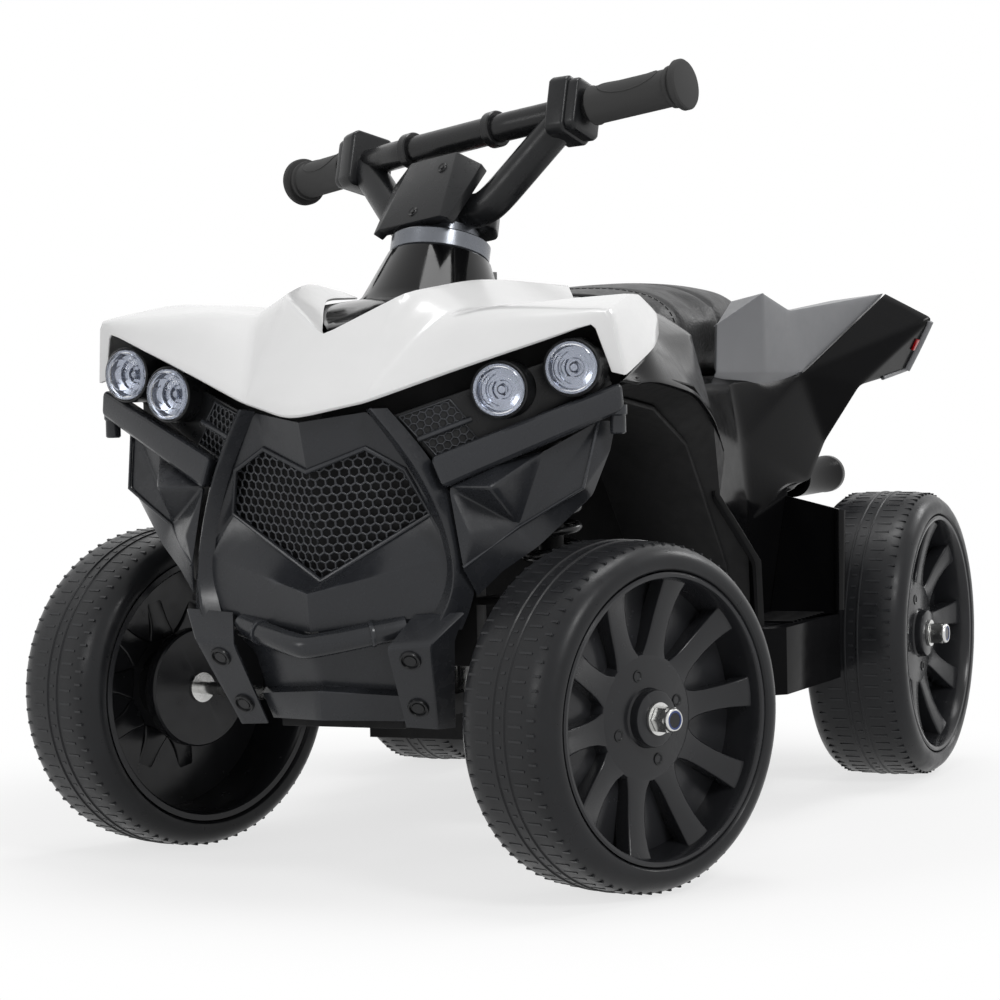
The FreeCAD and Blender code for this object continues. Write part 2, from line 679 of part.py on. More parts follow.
def make_console():
    """A six-sided cover over the crossbar's middle with its three screws."""
    low, wide, high = num("console_low"), num("console_half"), num("console_height")
    lean = num("console_lean")
    right = [(wide * 0.5, 0), (wide, high * 0.62), (wide * 0.65, high)]
    points = right + [(-x, y) for x, y in reversed(right)]
    cover = prism("console_cover", points, size("console_thickness"))
    upright = Rotation(Y_AXIS, Z_AXIS, X_AXIS, "XYZ")
    ahead = num("bar_radius") + num("seat_gap") + (num("bar_rise") - low) * math.tan(math.radians(lean))
    foot = Vector(ahead, 0, low)
    spot = bar_turn() * Placement(foot, Rotation(Y_AXIS, -lean) * upright)
    node("console_cover", cover).Placement = spot
    places = [(0, high * 0.14), (wide * 0.62, high * 0.72), (-wide * 0.62, high * 0.72)]
    face = size("console_thickness")
    heads = [rod(f"console_screw_{i}", size("screw_radius"), size("screw_head"), (x, y, face))
             for i, (x, y) in enumerate(places)]
    node("console_screws", group("console_screws", heads)).Placement = spot


def make_chassis():
    """An open tub with a tongue that reaches under the front beam."""
    half, wall = size("pan_half"), size("pan_wall")
    front, rear = FRONT_X + size("pan_front"), REAR_X + size("pan_rear")
    height = SILL - size("pan_bottom")
    floor = size("pan_floor")
    tub = box("pan_outside", (front - rear, 2 * half, height), (rear, -half, size("pan_bottom")))
    bay = box("pan_inside", (front - rear - 2 * wall, 2 * (half - wall), height),
              (rear + wall, wall - half, size("pan_bottom") + floor))
    tongue = box("pan_tongue", (size("tongue_front") - size("pan_front") + wall, 2 * size("tongue_half"),
                                size("tongue_top") - size("tongue_bottom")),
                 (front - wall, -size("tongue_half"), size("tongue_bottom")))
    axle_bore = size("axle_radius") + size("run_gap")
    drive_bore = size("sleeve_drive_radius") + size("seat_gap")
    axle = rod("pan_axle_bore", axle_bore, 4 * half, (REAR_X, -2 * half, HUB_Z), TO_LEFT)
    drive = rod("pan_drive_bore", drive_bore, 2 * half, (REAR_X, 0, HUB_Z), TO_LEFT)
    shell = cut("pan_shell", fuse("pan_blank", [tub, tongue]), fuse("pan_holes", [bay, axle, drive]))
    node("chassis_pan", shell)


def make_body_frame():
    """The tunnel that carries the seat deck above the battery bay."""
    half, wall, deck = size("tunnel_half"), size("tunnel_wall"), size("deck_thickness")
    front, rear = FRONT_X + size("tunnel_front"), REAR_X + size("tunnel_rear")
    low = SILL + size("seat_gap")
    ledge = size("pan_half") - half
    walls = box("tunnel_outside", (front - rear, 2 * half, size("deck_z") - low), (rear, -half, low))
    deck_rear = REAR_X + size("deck_rear")
    plate = box("tunnel_deck", (front - deck_rear, 2 * size("deck_half"), deck),
                (deck_rear, -size("deck_half"), size("deck_z") - deck))
    foot = box("tunnel_foot", (front - rear, 2 * (half + ledge), wall), (rear, -half - ledge, low))
    inside = box("tunnel_inside", (front - rear - 2 * wall, 2 * (half - wall), size("deck_z") - low - deck),
                 (rear + wall, wall - half, low))
    node("body_frame", cut("body_frame", fuse("tunnel_blank", [walls, plate, foot]), inside))


def make_front_beam():
    """The cross beam that holds both kingpin sleeves and the outriggers of the spring legs."""
    thick, front = size("beam_thickness"), FRONT_X + size("beam_front")
    low, top = size("beam_bottom"), size("beam_top")
    half, foot = size("beam_half_width"), size("beam_foot_half")
    base = size("tongue_top") + size("seat_gap")
    parts = [
        box("beam_plate", (thick, 2 * half, top - low), (front - thick, -half, low)),
        box("beam_foot", (thick, 2 * foot, low - base), (front - thick, -foot, base)),
    ]
    bores = []
    perch, thickness = size("spring_low") - size("perch_thickness"), size("perch_thickness")
    for name, side in SIDES.items():
        y, leg = side * size("kingpin_y"), side * size("spring_y")
        parts.append(rod(f"beam_sleeve_{name}", size("sleeve_radius"), top - low, (FRONT_X, y, low)))
        bores.append(rod(f"beam_bore_{name}", size("axle_radius") + size("run_gap"), 2 * top, (FRONT_X, y, 0)))
        parts.append(rod(f"beam_perch_{name}", size("perch_radius"), thickness, (FRONT_X, leg, perch)))
        reach = size("spring_y") - half
        corner = half if side == LEFT else -size("spring_y")
        parts.append(box(f"beam_outrigger_{name}", (2 * thick, reach + 1, thickness),
                         (front - 2 * thick, corner - (1 if side == LEFT else 0), perch)))
        rise = size("spring_turns") * size("spring_pitch") + 2 * size("spring_wire") + 6 * size("seat_gap")
        strut = rise + size("strut_tail")
        parts.append(rod(f"beam_strut_{name}", size("strut_radius"), strut, (FRONT_X, leg, perch)))
        parts.append(rod(f"beam_cap_{name}", size("perch_radius"), thickness,
                         (FRONT_X, leg, size("spring_low") + rise)))
    node("front_beam", cut("front_beam", fuse("beam_blank", parts), fuse("beam_bores", bores)))


def arc_from(start, heading, end):
    """The circular arc that leaves a point along a heading and ends at another point."""
    chord = end - start
    across = chord - heading * chord.dot(heading)
    across.normalize()
    radius = chord.dot(chord) / (2 * chord.dot(across))
    sweep = 2 * math.atan2(chord.dot(across), chord.dot(heading))
    middle = start + heading * (radius * math.sin(sweep / 2)) + across * (radius * (1 - math.cos(sweep / 2)))
    return Part.Arc(start, middle, end).toShape()


def spring_path(radius, pitch, turns, stub):
    """A helix as two arcs for each quarter turn, with a straight stub at each end."""
    slope = pitch / (2 * math.pi)

    def spot(angle):
        return Vector(radius * math.cos(angle), radius * math.sin(angle), slope * angle)

    def heading(angle):
        return Vector(-radius * math.sin(angle), radius * math.cos(angle), slope).normalize()

    quarter = math.pi / 2
    first, last = 0.0, turns * 2 * math.pi
    edges = [Part.LineSegment(spot(first) - heading(first) * stub, spot(first)).toShape()]
    for i in range(int(4 * turns)):
        a, b = spot(i * quarter), spot((i + 1) * quarter)
        ta, tb = heading(i * quarter), heading((i + 1) * quarter)
        chord, both = b - a, ta + tb
        quad, lin = 2 * (ta.dot(tb) - 1), -2 * chord.dot(both)
        root = math.sqrt(lin * lin - 4 * quad * chord.dot(chord))
        reach = (-lin - root) / (2 * quad)
        if reach < 0:
            reach = (-lin + root) / (2 * quad)
        joint = (a + b + (ta - tb) * reach) / 2
        edges.append(arc_from(a, ta, joint))
        edges.append(arc_from(b, -tb, joint))
    edges.append(Part.LineSegment(spot(last), spot(last) + heading(last) * stub).toShape())
    return Part.Wire(Part.__sortEdges__(edges)), spot


def least_gap(spot, turns, wire):
    """The smallest clear distance between neighbouring curls, measured on points of the helix."""
    steps = 48
    points = [spot(2 * math.pi * i / steps) for i in range(int(turns * steps) + 1)]
    apart = steps // 2
    return min((p - q).Length for i, p in enumerate(points) for q in points[i + apart:]) - 2 * wire


def make_springs():
    radius, wire, pitch = num("spring_radius"), num("spring_wire"), num("spring_pitch")
    path, spot = spring_path(radius, pitch, num("spring_turns"), 2 * wire)
    start = path.OrderedVertexes[0].Point
    heading = (path.OrderedVertexes[1].Point - start).normalize()
    ring = Part.Wire(Part.makeCircle(wire, start, heading))
    coil = Part.BRepOffsetAPI.MakePipeShell(path)
    coil.add(ring)
    coil.build()
    coil.makeSolid()
    shape = coil.shape()
    print("spring: least gap to itself", round(least_gap(spot, num("spring_turns"), wire), 2), "mm")
    low = num("spring_low") + wire + 3 * num("seat_gap")
    coils = [solid_feature(f"spring_{name}", shape, Placement(
        Vector(num("front_axle_x"), side * num("spring_y"), low), UPRIGHT)) for name, side in SIDES.items()]
    node("front_springs", group("front_springs", coils))


def make_rear_axle():
    reach = size("rear_track_half") + size("hub_out") + size("axle_tail")
    node("rear_axle", rod("rear_axle", size("axle_radius"), 2 * reach, (REAR_X, -reach, HUB_Z), TO_LEFT))
    fasteners = []
    for name, side in SIDES.items():
        fasteners += axle_fasteners(f"rear_{name}_axle", REAR_X, side * size("rear_track_half"), side)
    bore = size("axle_radius") + size("run_gap")
    inner_face = size("rear_track_half") - size("hub_in") - size("washer_thickness")
    length, radius = inner_face - size("pan_half") - 3 * size("seat_gap"), size("washer_radius")
    tube = turned("rear_spacer", [(bore, 0), (radius, 0), (radius, length), (bore, length)])
    place(tube, (REAR_X, -size("pan_half") - size("seat_gap"), HUB_Z), TO_RIGHT)
    node("rear_axle_fasteners", group("rear_axle_fasteners", [*fasteners, tube]))


def gear_outline(teeth, module, turn):
    """Involute teeth with short tips and a little play, as a closed list of points."""
    pressure, play = math.radians(num("gear_pressure")), num("gear_play")
    pitch = teeth * module / 2
    base = pitch * math.cos(pressure)
    tip, root = pitch + num("gear_tip") * module, pitch - num("gear_root") * module
    half_tooth = math.pi / (2 * teeth) - play / pitch + math.tan(pressure) - pressure

    def flank(radius):
        if radius <= base:
            return half_tooth
        roll = math.sqrt((radius / base) ** 2 - 1)
        return half_tooth - (roll - math.atan(roll))

    radii = [root] + [max(base, root) + (tip - max(base, root)) * share for share in (0, 0.35, 0.7, 1)]
    points = []
    for i in range(teeth):
        middle = turn + 2 * math.pi * i / teeth
        points += [(r, middle - flank(r)) for r in radii]
        points += [(r, middle + flank(r)) for r in reversed(radii)]
    return [Vector(r * math.cos(a), r * math.sin(a), 0) for r, a in points]


def gear_blank(teeth, module, turn, width, bore):
    points = gear_outline(teeth, module, turn)
    face = Part.Face(Part.makePolygon([*points, points[0]]))
    return face.extrude(Z_AXIS * width).cut(Part.makeCylinder(bore, 3 * width, Z_AXIS * -width))


def drive_centres():
    """Distances of the compound gear and the motor ahead of the rear axle."""
    teeth = num("wheel_teeth") + num("small_teeth")
    slow = teeth * num("drive_module") / 2
    return slow, slow + teeth * num("fast_module") / 2


def make_drive():
    """Motor pinion, compound gear and drive gear, whose sleeve carries pegs into the left wheel."""
    big, small = int(num("wheel_teeth")), int(num("small_teeth"))
    width, gap = num("gear_width"), num("seat_gap")
    rear_x, hub = num("front_axle_x") - num("wheelbase"), num("tyre_radius")
    slow, fast = drive_centres()
    run = num("run_gap")
    inboard = num("pan_half") - num("gear_inboard")
    half_pitch = math.pi / small
    axle_bore = num("axle_radius") + run
    flange_y = num("rear_track_half") - num("hub_in") - 2 * gap
    sleeve_end = flange_y - inboard
    sleeve = Part.makeCylinder(num("sleeve_drive_radius"), sleeve_end - width, Z_AXIS * width)
    flange_foot = Z_AXIS * (sleeve_end - num("drive_flange"))
    flange = Part.makeCylinder(num("drive_flange_radius"), num("drive_flange"), flange_foot)
    hub_hole = Part.makeCylinder(axle_bore, sleeve_end + width, Z_AXIS * -1)
    seat = Part.makeCylinder(num("washer_radius") + 2 * gap, 4 * num("washer_thickness"),
                             Z_AXIS * (sleeve_end - 2 * num("washer_thickness")))
    driver = gear_blank(big, num("drive_module"), 0, width, axle_bore).multiFuse([sleeve, flange])
    for i in range(int(num("peg_count"))):
        angle = 2 * math.pi * i / num("peg_count")
        foot = Vector(math.cos(angle), math.sin(angle), 0) * num("peg_circle") + Z_AXIS * (sleeve_end - 1)
        driver = driver.fuse(Part.makeCylinder(num("peg_radius"), num("peg_depth") + 1, foot))
    driver = driver.cut(hub_hole).cut(seat)
    node("drive_gear", solid_feature("drive_gear", driver, Placement(Vector(rear_x, inboard, hub), TO_LEFT)))
    shaft = num("gear_shaft_radius") + run
    lower = gear_blank(big, num("fast_module"), 0, width, shaft)
    upper = gear_blank(small, num("drive_module"), half_pitch, width + 1, shaft)
    upper.translate(Z_AXIS * width)
    compound = lower.fuse(upper)
    node("compound_gear", solid_feature("compound_gear", compound, Placement(
        Vector(rear_x + slow, inboard - width - 1, hub), TO_LEFT)))
    pinion = gear_blank(small, num("fast_module"), half_pitch, width, num("gear_shaft_radius") / 2 + run)
    node("motor_pinion", solid_feature("motor_pinion", pinion, Placement(
        Vector(rear_x + fast, inboard - width - 1, hub), TO_LEFT)))
    make_gearbox(slow, fast, inboard, width)


def make_gearbox(slow, fast, inboard, width):
    """Two casing halves round the gears and the motor bolted to the inner half."""
    wall, gap = num("case_wall"), num("case_gap")
    rear_x, hub = num("front_axle_x") - num("wheelbase"), num("tyre_radius")
    reach = num("wheel_teeth") * num("drive_module") / 2 + num("drive_module") + gap
    front_reach = num("small_teeth") * num("fast_module") / 2 + num("fast_module") + 3 * gap
    low_y, high_y, split = inboard - width - 1 - gap, inboard + width + gap, inboard - 0.5
    length = reach + fast + front_reach

    def chamber(y_from, y_to, grow):
        corner = Vector(rear_x - reach - grow, y_from, hub - reach - grow)
        return Part.makeBox(length + 2 * grow, y_to - y_from, 2 * (reach + grow), corner)

    def bore(x, radius):
        return Part.makeCylinder(radius, 400, Vector(x, -200, hub), Y_AXIS)

    cavity = chamber(low_y, high_y, 0)
    axle = bore(rear_x, num("axle_radius") + num("run_gap"))
    inner = chamber(low_y - wall, split, wall).cut(cavity).cut(axle)
    inner = inner.cut(bore(rear_x + fast, num("gear_shaft_radius") / 2 + num("seat_gap")))
    spigot_foot = Vector(rear_x + slow, low_y, hub)
    spigot = Part.makeCylinder(num("gear_shaft_radius"), high_y - low_y - gap, spigot_foot, Y_AXIS)
    node("gearbox_inner_case", solid_feature("gearbox_inner_case", inner.fuse(spigot)))
    outer = chamber(split, high_y + wall, wall).cut(cavity)
    outer = outer.cut(bore(rear_x, num("sleeve_drive_radius") + num("seat_gap")))
    node("gearbox_outer_case", solid_feature("gearbox_outer_case", outer))
    can = Part.makeCylinder(num("motor_radius"), num("motor_length"),
                            Vector(rear_x + fast, low_y - wall - num("motor_length"), hub), Y_AXIS)
    shaft = Part.makeCylinder(num("gear_shaft_radius") / 2, 2 * gap + wall + width,
                              Vector(rear_x + fast, low_y - wall - gap, hub), Y_AXIS)
    node("motor", solid_feature("motor", can.fuse(shaft)))


def make_battery():
    floor = size("pan_bottom") + size("pan_floor")
    width, height = size("battery_width"), size("battery_height")
    x = REAR_X + size("battery_x") - size("battery_length") / 2
    case = box("battery_case", (size("battery_length"), width, height), (x, -width / 2, floor))
    post = size("battery_post")
    posts = [rod(f"battery_post_{name}", post, post, (x + 2 * post, side * width / 3, floor + height))
             for name, side in SIDES.items()]
    node("battery", fuse("battery", [case, *posts]))
    node("control_box", box("control_box", (size("box_length"), size("box_width"), size("box_height")),
                            (REAR_X + size("box_x"), -size("box_width") / 2, floor)))


def skin(name, corners, faces, push):
    return solid_feature(name, skin_shape(corners, faces, push))


def pair_of_skins(label, corners, faces, push):
    """A left moulding and its mirror image, each in its own node."""
    left = node("left_" + label, skin("left_" + label, corners, faces, push))
    node("right_" + label, mirrored("right_" + label, left))


def make_hood():
    """The white cowl: V-shaped nose, wings swept back beside the column and a strip outside each lamp pair."""
    corners = from_front(
        tip=(120.3, 0, 144), brow=(102, 35, 152), edge=(79, 85, 170), lamp_corner=(48, 151, 192),
        strip_in=(40, 158, 165), strip_out=(37, 165.5, 163),
        notch=(74.6, 0, 189), bulge=(64, 40, 202), crest=(55, 85, 207), shoulder=(44, 159, 200),
        wing_in=(-12, 48, 209), wing_top=(-8, 90, 210), wing_out=(-18, 146, 202), side_low=(-18, 162, 178),
        rear_in=(-122, 70, 215), rear_top=(-120, 90, 213), rear_out=(-112, 113, 207),
        rear_low=(-84, 140, 185))
    faces = [
        ("tip", "brow", "bulge", "notch"), ("brow", "edge", "crest", "bulge"),
        ("edge", "lamp_corner", "shoulder", "crest"), ("lamp_corner", "strip_in", "strip_out", "shoulder"),
        ("notch", "bulge", "wing_in"), ("bulge", "crest", "wing_top", "wing_in"),
        ("crest", "shoulder", "wing_out", "wing_top"), ("shoulder", "strip_out", "side_low", "wing_out"),
        ("wing_in", "wing_top", "rear_top", "rear_in"), ("wing_top", "wing_out", "rear_out", "rear_top"),
        ("wing_out", "side_low", "rear_low", "rear_out")]
    whole, all_faces = both_sides(corners, faces)
    node("front_hood", skin("front_hood", whole, all_faces, inwards(1, 1, 1)))


def make_dash():
    """The black cover between the hood's wings, open round the foot of the column shroud."""
    corners = from_front(
        nose=(66, 0, 184), side=(-10, 44, 204), waist=(-122, 66, 209), crown=(-29, 0, 207), top=(-122, 0, 212))
    corners.update(from_rear(rear=(205, 66, 202), rear_top=(205, 0, 206)))
    faces = [
        ("nose", "side", "crown"), ("crown", "side", "waist", "top"), ("top", "waist", "rear", "rear_top")]
    whole, all_faces = both_sides(corners, faces)
    cover = skin("dash_skin", whole, all_faces, inwards(0, 0, 1))
    foot, top = num("shroud_foot_radius"), num("shroud_top_radius")
    gap = num("seat_gap")
    cone = Part.makeCone(foot + gap, top + gap, num("shroud_foot"), Z_AXIS * -num("shroud_foot"))
    hole = solid_feature("dash_hole", cone, raked())
    node("dash_cover", cut("dash_cover", cover, hole))
    bore = size("column_radius") + size("run_gap")
    shroud = node("column_shroud", turned("column_shroud", [
        (bore, -size("shroud_foot")), (size("shroud_foot_radius"), -size("shroud_foot")),
        (size("shroud_top_radius"), -size("seat_gap")), (bore, -size("seat_gap"))]))
    shroud.Placement = raked()


def make_front_fenders():
    """The gloss arches over the front wheels and the knee shields behind them."""
    corners = from_front(
        lip_front=(15, 165, 159), lip_top=(-17, 166, 158), lip_back=(-87, 162, 150), lip_low=(-147, 152, 132),
        lip_end=(-190, 142, 112), edge_front=(33, 161, 160), edge_top=(-18, 160, 175),
        edge_back=(-84, 138, 182), corner=(-165, 130, 183), knee=(-202, 128, 136),
        inner_front=(-124, 72, 209), inner_mid=(-114, 112, 203), inner_back=(-200, 70, 203),
        back_mid=(-188, 100, 199))
    faces = [
        ("lip_front", "lip_top", "edge_top", "edge_front"), ("lip_top", "lip_back", "edge_back", "edge_top"),
        ("lip_back", "lip_low", "corner", "edge_back"), ("lip_low", "lip_end", "knee", "corner"),
        ("edge_back", "corner", "back_mid", "inner_mid"),
        ("inner_mid", "back_mid", "inner_back", "inner_front")]
    pair_of_skins("front_fender", corners, faces, inwards(0, 1, 1))


def make_wheel_liners():
    """Bent inner arches over the front wheels."""
    arch = [(30, 145), (-20, 152), (-90, 143), (-145, 120), (-174, 88), (-216, 40), (-219, 0.4)]
    inner = [(24, 142), (-20, 149), (-88.5, 140.2), (-142.8, 117.6), (-171, 86), (-213, 39), (-216, 0.4)]
    points = [(FRONT_X + x, SILL + z) for x, z in [*arch, *reversed(inner)]]
    width = size("liner_width")
    liners = []
    for name, side in SIDES.items():
        liner = prism(f"liner_{name}", points, width)
        place(liner, (0, size("pan_half") + width if side == LEFT else -size("pan_half"), 0), TO_RIGHT)
        liners.append(liner)
    node("wheel_liners", group("wheel_liners", liners))


def make_side_panels():
    """The flank from the knee shield past the seat to the rear wheel, with the wing over that wheel."""
    corners = from_front(
        a0=(-202, 71, 199), a1=(-167, 131, 180), a2=(-204, 128, 133), a3=(-191, 142, 109), a4=(-178, 139, 86),
        b0=(-255, 82, 157), b1=(-255, 100, 152), b2=(-252, 106, 125), b3=(-256, 110, 75), b4=(-252, 112, 0.6),
        a5=(-222, 150, 42), a6=(-226, 150, 0.6))
    corners.update(from_rear(
        c0=(110, 83, 156), c1=(110, 92, 150), c2=(110, 100, 110), c3=(110, 104, 60), c4=(108, 108, 0.6),
        e3=(78, 117.4, 74), e4=(99.5, 112.6, 0.6),
        d0=(50, 99, 154), d1=(22, 112, 152), d2=(-7, 120, 108), d3=(25, 119, 83), d4=(68, 117, 80),
        w1=(-105, 134, 205), w2=(-108, 169, 191), w3=(-108, 149, 154), w4=(-26, 140, 146)))
    faces = [
        ("a0", "a1", "b1", "b0"), ("a1", "a2", "b2", "b1"), ("a2", "a3", "b3", "b2"), ("a3", "a4", "b3"),
        ("a4", "a5", "b3"), ("a5", "a6", "b4", "b3"),
        ("b0", "b1", "c1", "c0"), ("b1", "b2", "c2", "c1"), ("b2", "b3", "c3", "c2"), ("b3", "b4", "c4", "c3"),
        ("c0", "c1", "d0"), ("c1", "c2", "d1", "d0"), ("c2", "d3", "d2", "d1"), ("c3", "d4", "d3", "c2"),
        ("c3", "c4", "e4", "e3"), ("c3", "e3", "d4"),
        ("d1", "d2", "w4"), ("d1", "w4", "w2"), ("d1", "w2", "w1"), ("w4", "w3", "w2")]
    pair_of_skins("side_panel", corners, [tuple(reversed(f)) for f in faces], inwards(0, 1, 0.4))


def make_rear_fenders():
    """Grey tops beside and behind the seat that rise to the tail, one solid for each side."""
    corners = from_rear(
        q0=(118, 86, 158.8), q1=(68, 103, 157.3), q2=(20, 113, 155.9), r0=(115, 86, 190), r1=(82, 106, 209),
        r2=(34, 109, 197), r3=(-103, 132, 208), u1=(80, 84, 204), u2=(20, 84, 194), u3=(-103, 96, 204))
    faces = [("q0", "q1", "r1", "r0"), ("q1", "q2", "r2", "r1"), ("q2", "r3", "r2"),
             ("r1", "r2", "u2", "u1"), ("r2", "r3", "u3", "u2")]
    left = skin("rear_fender_left", corners, [tuple(reversed(f)) for f in faces], inwards(0, 1, 1))
    node("rear_fenders", group("rear_fenders", [left, mirrored("rear_fender_right", left)]))


def make_tail():
    """The deck behind the seat, the panel that closes the tail and its two red lamps."""
    corners = from_rear(
        front=(-3, 0, 187), front_side=(-3, 81, 187), edge=(-103, 94, 201), edge_top=(-103, 0, 201),
        low_side=(-106, 120, 152), low=(-106, 0, 150))
    faces = [("front", "edge_top", "edge", "front_side"), ("edge_top", "low", "low_side", "edge")]
    whole, all_faces = both_sides(corners, [tuple(reversed(f)) for f in faces])
    node("tail_panel", skin("tail_panel", whole, all_faces, inwards(-1, 0, 1)))
    depth, width, height = size("tail_lamp_depth"), size("tail_lamp_width"), size("tail_lamp_height")
    lamps = []
    for name, side in SIDES.items():
        y = size("tail_lamp_y") if side == LEFT else -size("tail_lamp_y") - width
        corner = (REAR_X + size("tail_lamp_x"), y, SILL + size("tail_lamp_rise"))
        lamps.append(box(f"tail_lamp_{name}", (depth, width, height), corner))
    node("tail_lamps", group("tail_lamps", lamps))


def make_footrests():
    """Hollow steps beside the tub with a guard before each rear wheel; the right one holds the pedal."""
    inner = size("pan_half") + size("seat_gap")
    front, rear = FRONT_X + size("foot_front"), REAR_X + size("foot_rear")
    thick, wall = size("foot_thickness"), size("foot_wall")
    half, nose = size("foot_half"), size("foot_nose_half")
    corner, tuck = size("foot_corner"), size("foot_tuck")
    plan = [(front, inner), (front, nose), (front - corner, half - 2), (rear, half), (rear - tuck, half - 6),
            (rear - tuck, inner)]
    ahead, behind = front - wall, rear - tuck + wall
    hollow = [(ahead, inner + wall), (ahead, nose - wall), (ahead - corner, half - 2 * wall),
              (rear + wall, half - 2 * wall), (behind, half - 4 * wall), (behind, inner + wall)]
    guard_corners = from_rear(
        foot_out=(112, 166, -1), top_out=(108, 166, 68), top_in=(75, 119, 75), foot_in=(97, 114, -1))
    guard_face = ("foot_out", "top_out", "top_in", "foot_in")
    guard = skin("left_guard", guard_corners, [guard_face], inwards(-1, 0, 0))
    step = prism("left_step", plan, thick)
    place(step, (0, 0, SILL - thick - size("seat_gap")))
    bay = prism("left_step_bay", hollow, thick)
    place(bay, (0, 0, SILL - thick - size("seat_gap") - wall))
    left = node("left_footrest", fuse("left_footrest", [cut("left_step_shell", step, bay), guard]))
    right = mirrored("right_step_mirror", left)
    lugs = []
    hinge_x, hinge_z = FRONT_X + size("pedal_hinge_x"), SILL + size("pedal_hinge_rise")
    lug, half = size("pedal_lug"), size("pedal_width") / 2
    near, far = -size("pedal_y") - half, -size("pedal_y") + half
    for i, y in enumerate((near - lug - size("seat_gap"), far + size("seat_gap"))):
        lugs.append(box(f"pedal_lug_{i}", (2 * lug, lug, size("pedal_hinge_rise") + lug),
                        (hinge_x - lug, y, SILL - size("seat_gap"))))
    pin_radius = size("pedal_pin_radius")
    pin = rod("pedal_pin", pin_radius, 2 * half + 2 * lug, (hinge_x, near - lug, hinge_z), TO_LEFT)
    node("right_footrest", fuse("right_footrest", [right, *lugs, pin]))
    barrel = rod("pedal_barrel", size("pedal_barrel_radius"), 2 * half, (hinge_x, near, hinge_z), TO_LEFT)
    tilt = Rotation(Y_AXIS, -num("pedal_tilt"))
    lengths = (size("pedal_length"), 2 * half, size("pedal_thickness"))
    tread = box("pedal_tread", lengths, (hinge_x, near, hinge_z), tilt)
    bore = rod("pedal_bore", pin_radius + size("run_gap"), 4 * half, (hinge_x, near - half, hinge_z), TO_LEFT)
    node("foot_pedal", cut("foot_pedal", fuse("pedal_blank", [barrel, tread]), bore))


def make_switches():
    """A small panel beside the dash's middle with a power rocker and a forward and reverse rocker."""
    length, width, height = size("panel_length"), size("panel_width"), size("panel_height")
    x, middle, low = FRONT_X + size("panel_x"), size("panel_y"), SILL + size("panel_rise")
    radius, span, gap = size("rocker_radius"), size("rocker_length"), size("seat_gap")
    pivot_z = low + height - size("rocker_sink")
    block = box("panel_block", (length, width, height), (x - length / 2, middle - width / 2, low))
    holes = []
    for label, side in (("power_switch", LEFT), ("direction_switch", RIGHT)):
        y = middle + side * size("rocker_y")
        well_end = y - span / 2 - gap
        holes.append(rod(label + "_well", radius + gap, span + 2 * gap, (x, well_end, pivot_z), TO_LEFT))
        drum = rod(label + "_drum", radius, span, (0, -span / 2, 0), TO_LEFT)
        slab = box(label + "_slab", (2 * radius, span, size("rocker_up") + size("rocker_down")),
                   (-radius, -span / 2, -size("rocker_down")))
        rocker = doc.addObject("Part::Common", label)
        rocker.Base, rocker.Tool = drum, slab
        node(label, place(rocker, (x, y, pivot_z), Rotation(Y_AXIS, num("rocker_tilt"))))
    node("switch_panel", cut("switch_panel", block, fuse("panel_wells", holes)))


def lamp_spots():
    """The place of each left lamp's lens, turned outwards a little."""
    turn = Rotation(Z_AXIS, num("lamp_yaw")) * TO_FRONT
    spots = from_front(outer=(50.7, 138.8, 168), inner=(67.5, 102.6, 156.7))
    return {name: Placement(spot, turn) for name, spot in spots.items()}


def make_headlamps():
    """Two dark panels under the hood's brow, each with two round lamps in short pods."""
    corners = from_front(
        top_in=(80, 44, 143.7), top_mid=(58, 87, 159.3), top_out=(27, 144.5, 180.8),
        low_in=(70, 66, 116), low_mid=(48, 106, 134), low_out=(21, 151, 158))
    faces = [("top_in", "low_in", "low_mid", "top_mid"), ("top_mid", "low_mid", "low_out", "top_out")]
    panel = skin("lamp_panel_skin", corners, faces, inwards(1, 0, 0))
    radius, depth, wall = size("lamp_radius"), size("lamp_pod_length"), size("lens_wall")
    gap, dome, bowl = size("seat_gap"), size("lens_dome"), size("reflector_depth")
    bulge = [(radius * 0.8, dome * 0.6), (radius * 0.45, dome * 0.9), (0, dome)]
    hollow = [(r, z - wall) for r, z in reversed(bulge)]
    profiles = {
        "reflector": [(0, -bowl), (radius / 3, -bowl), (radius, -2 * gap), (radius, -gap), (radius - wall, -gap),
                      (0, 1 - bowl)],
        "lens": [(radius, 0), (radius, wall), *bulge, *hollow, (radius - wall, 0)],
    }
    made = {what: [] for what in profiles}
    pods, cores = [], []
    for name, spot in lamp_spots().items():
        pods.append(plug(f"pod_{name}", radius + wall + gap, depth, spot, -depth))
        cores.append(plug(f"core_{name}", radius + gap, 2 * bowl, spot, -bowl - gap))
        for what, profile in profiles.items():
            thing = turned(f"{what}_{name}", profile)
            thing.Placement = spot
            made[what].append(thing)
    left = fuse("lamp_panel_blank", [panel, *pods])
    for core in cores:
        left = cut(f"lamp_panel_{core.Name}", left, core)
    for label, things in (("panels", [left]), ("reflectors", made["reflector"]), ("lenses", made["lens"])):
        twins = [mirrored(f"{thing.Name}_right", thing) for thing in things]
        node(f"headlamp_{label}", group(f"headlamp_{label}", things + twins))


def bolt_spots():
    """The four ringed bolts on the skid legs, each with the direction that it faces."""
    spots = from_front(upper=(98, 60, 13.7), lower=(76.5, 51.9, -16.7))
    for name, spot in spots.items():
        for side_name, side in SIDES.items():
            yield f"{name}_{side_name}", Vector(spot.x, side * spot.y, spot.z)


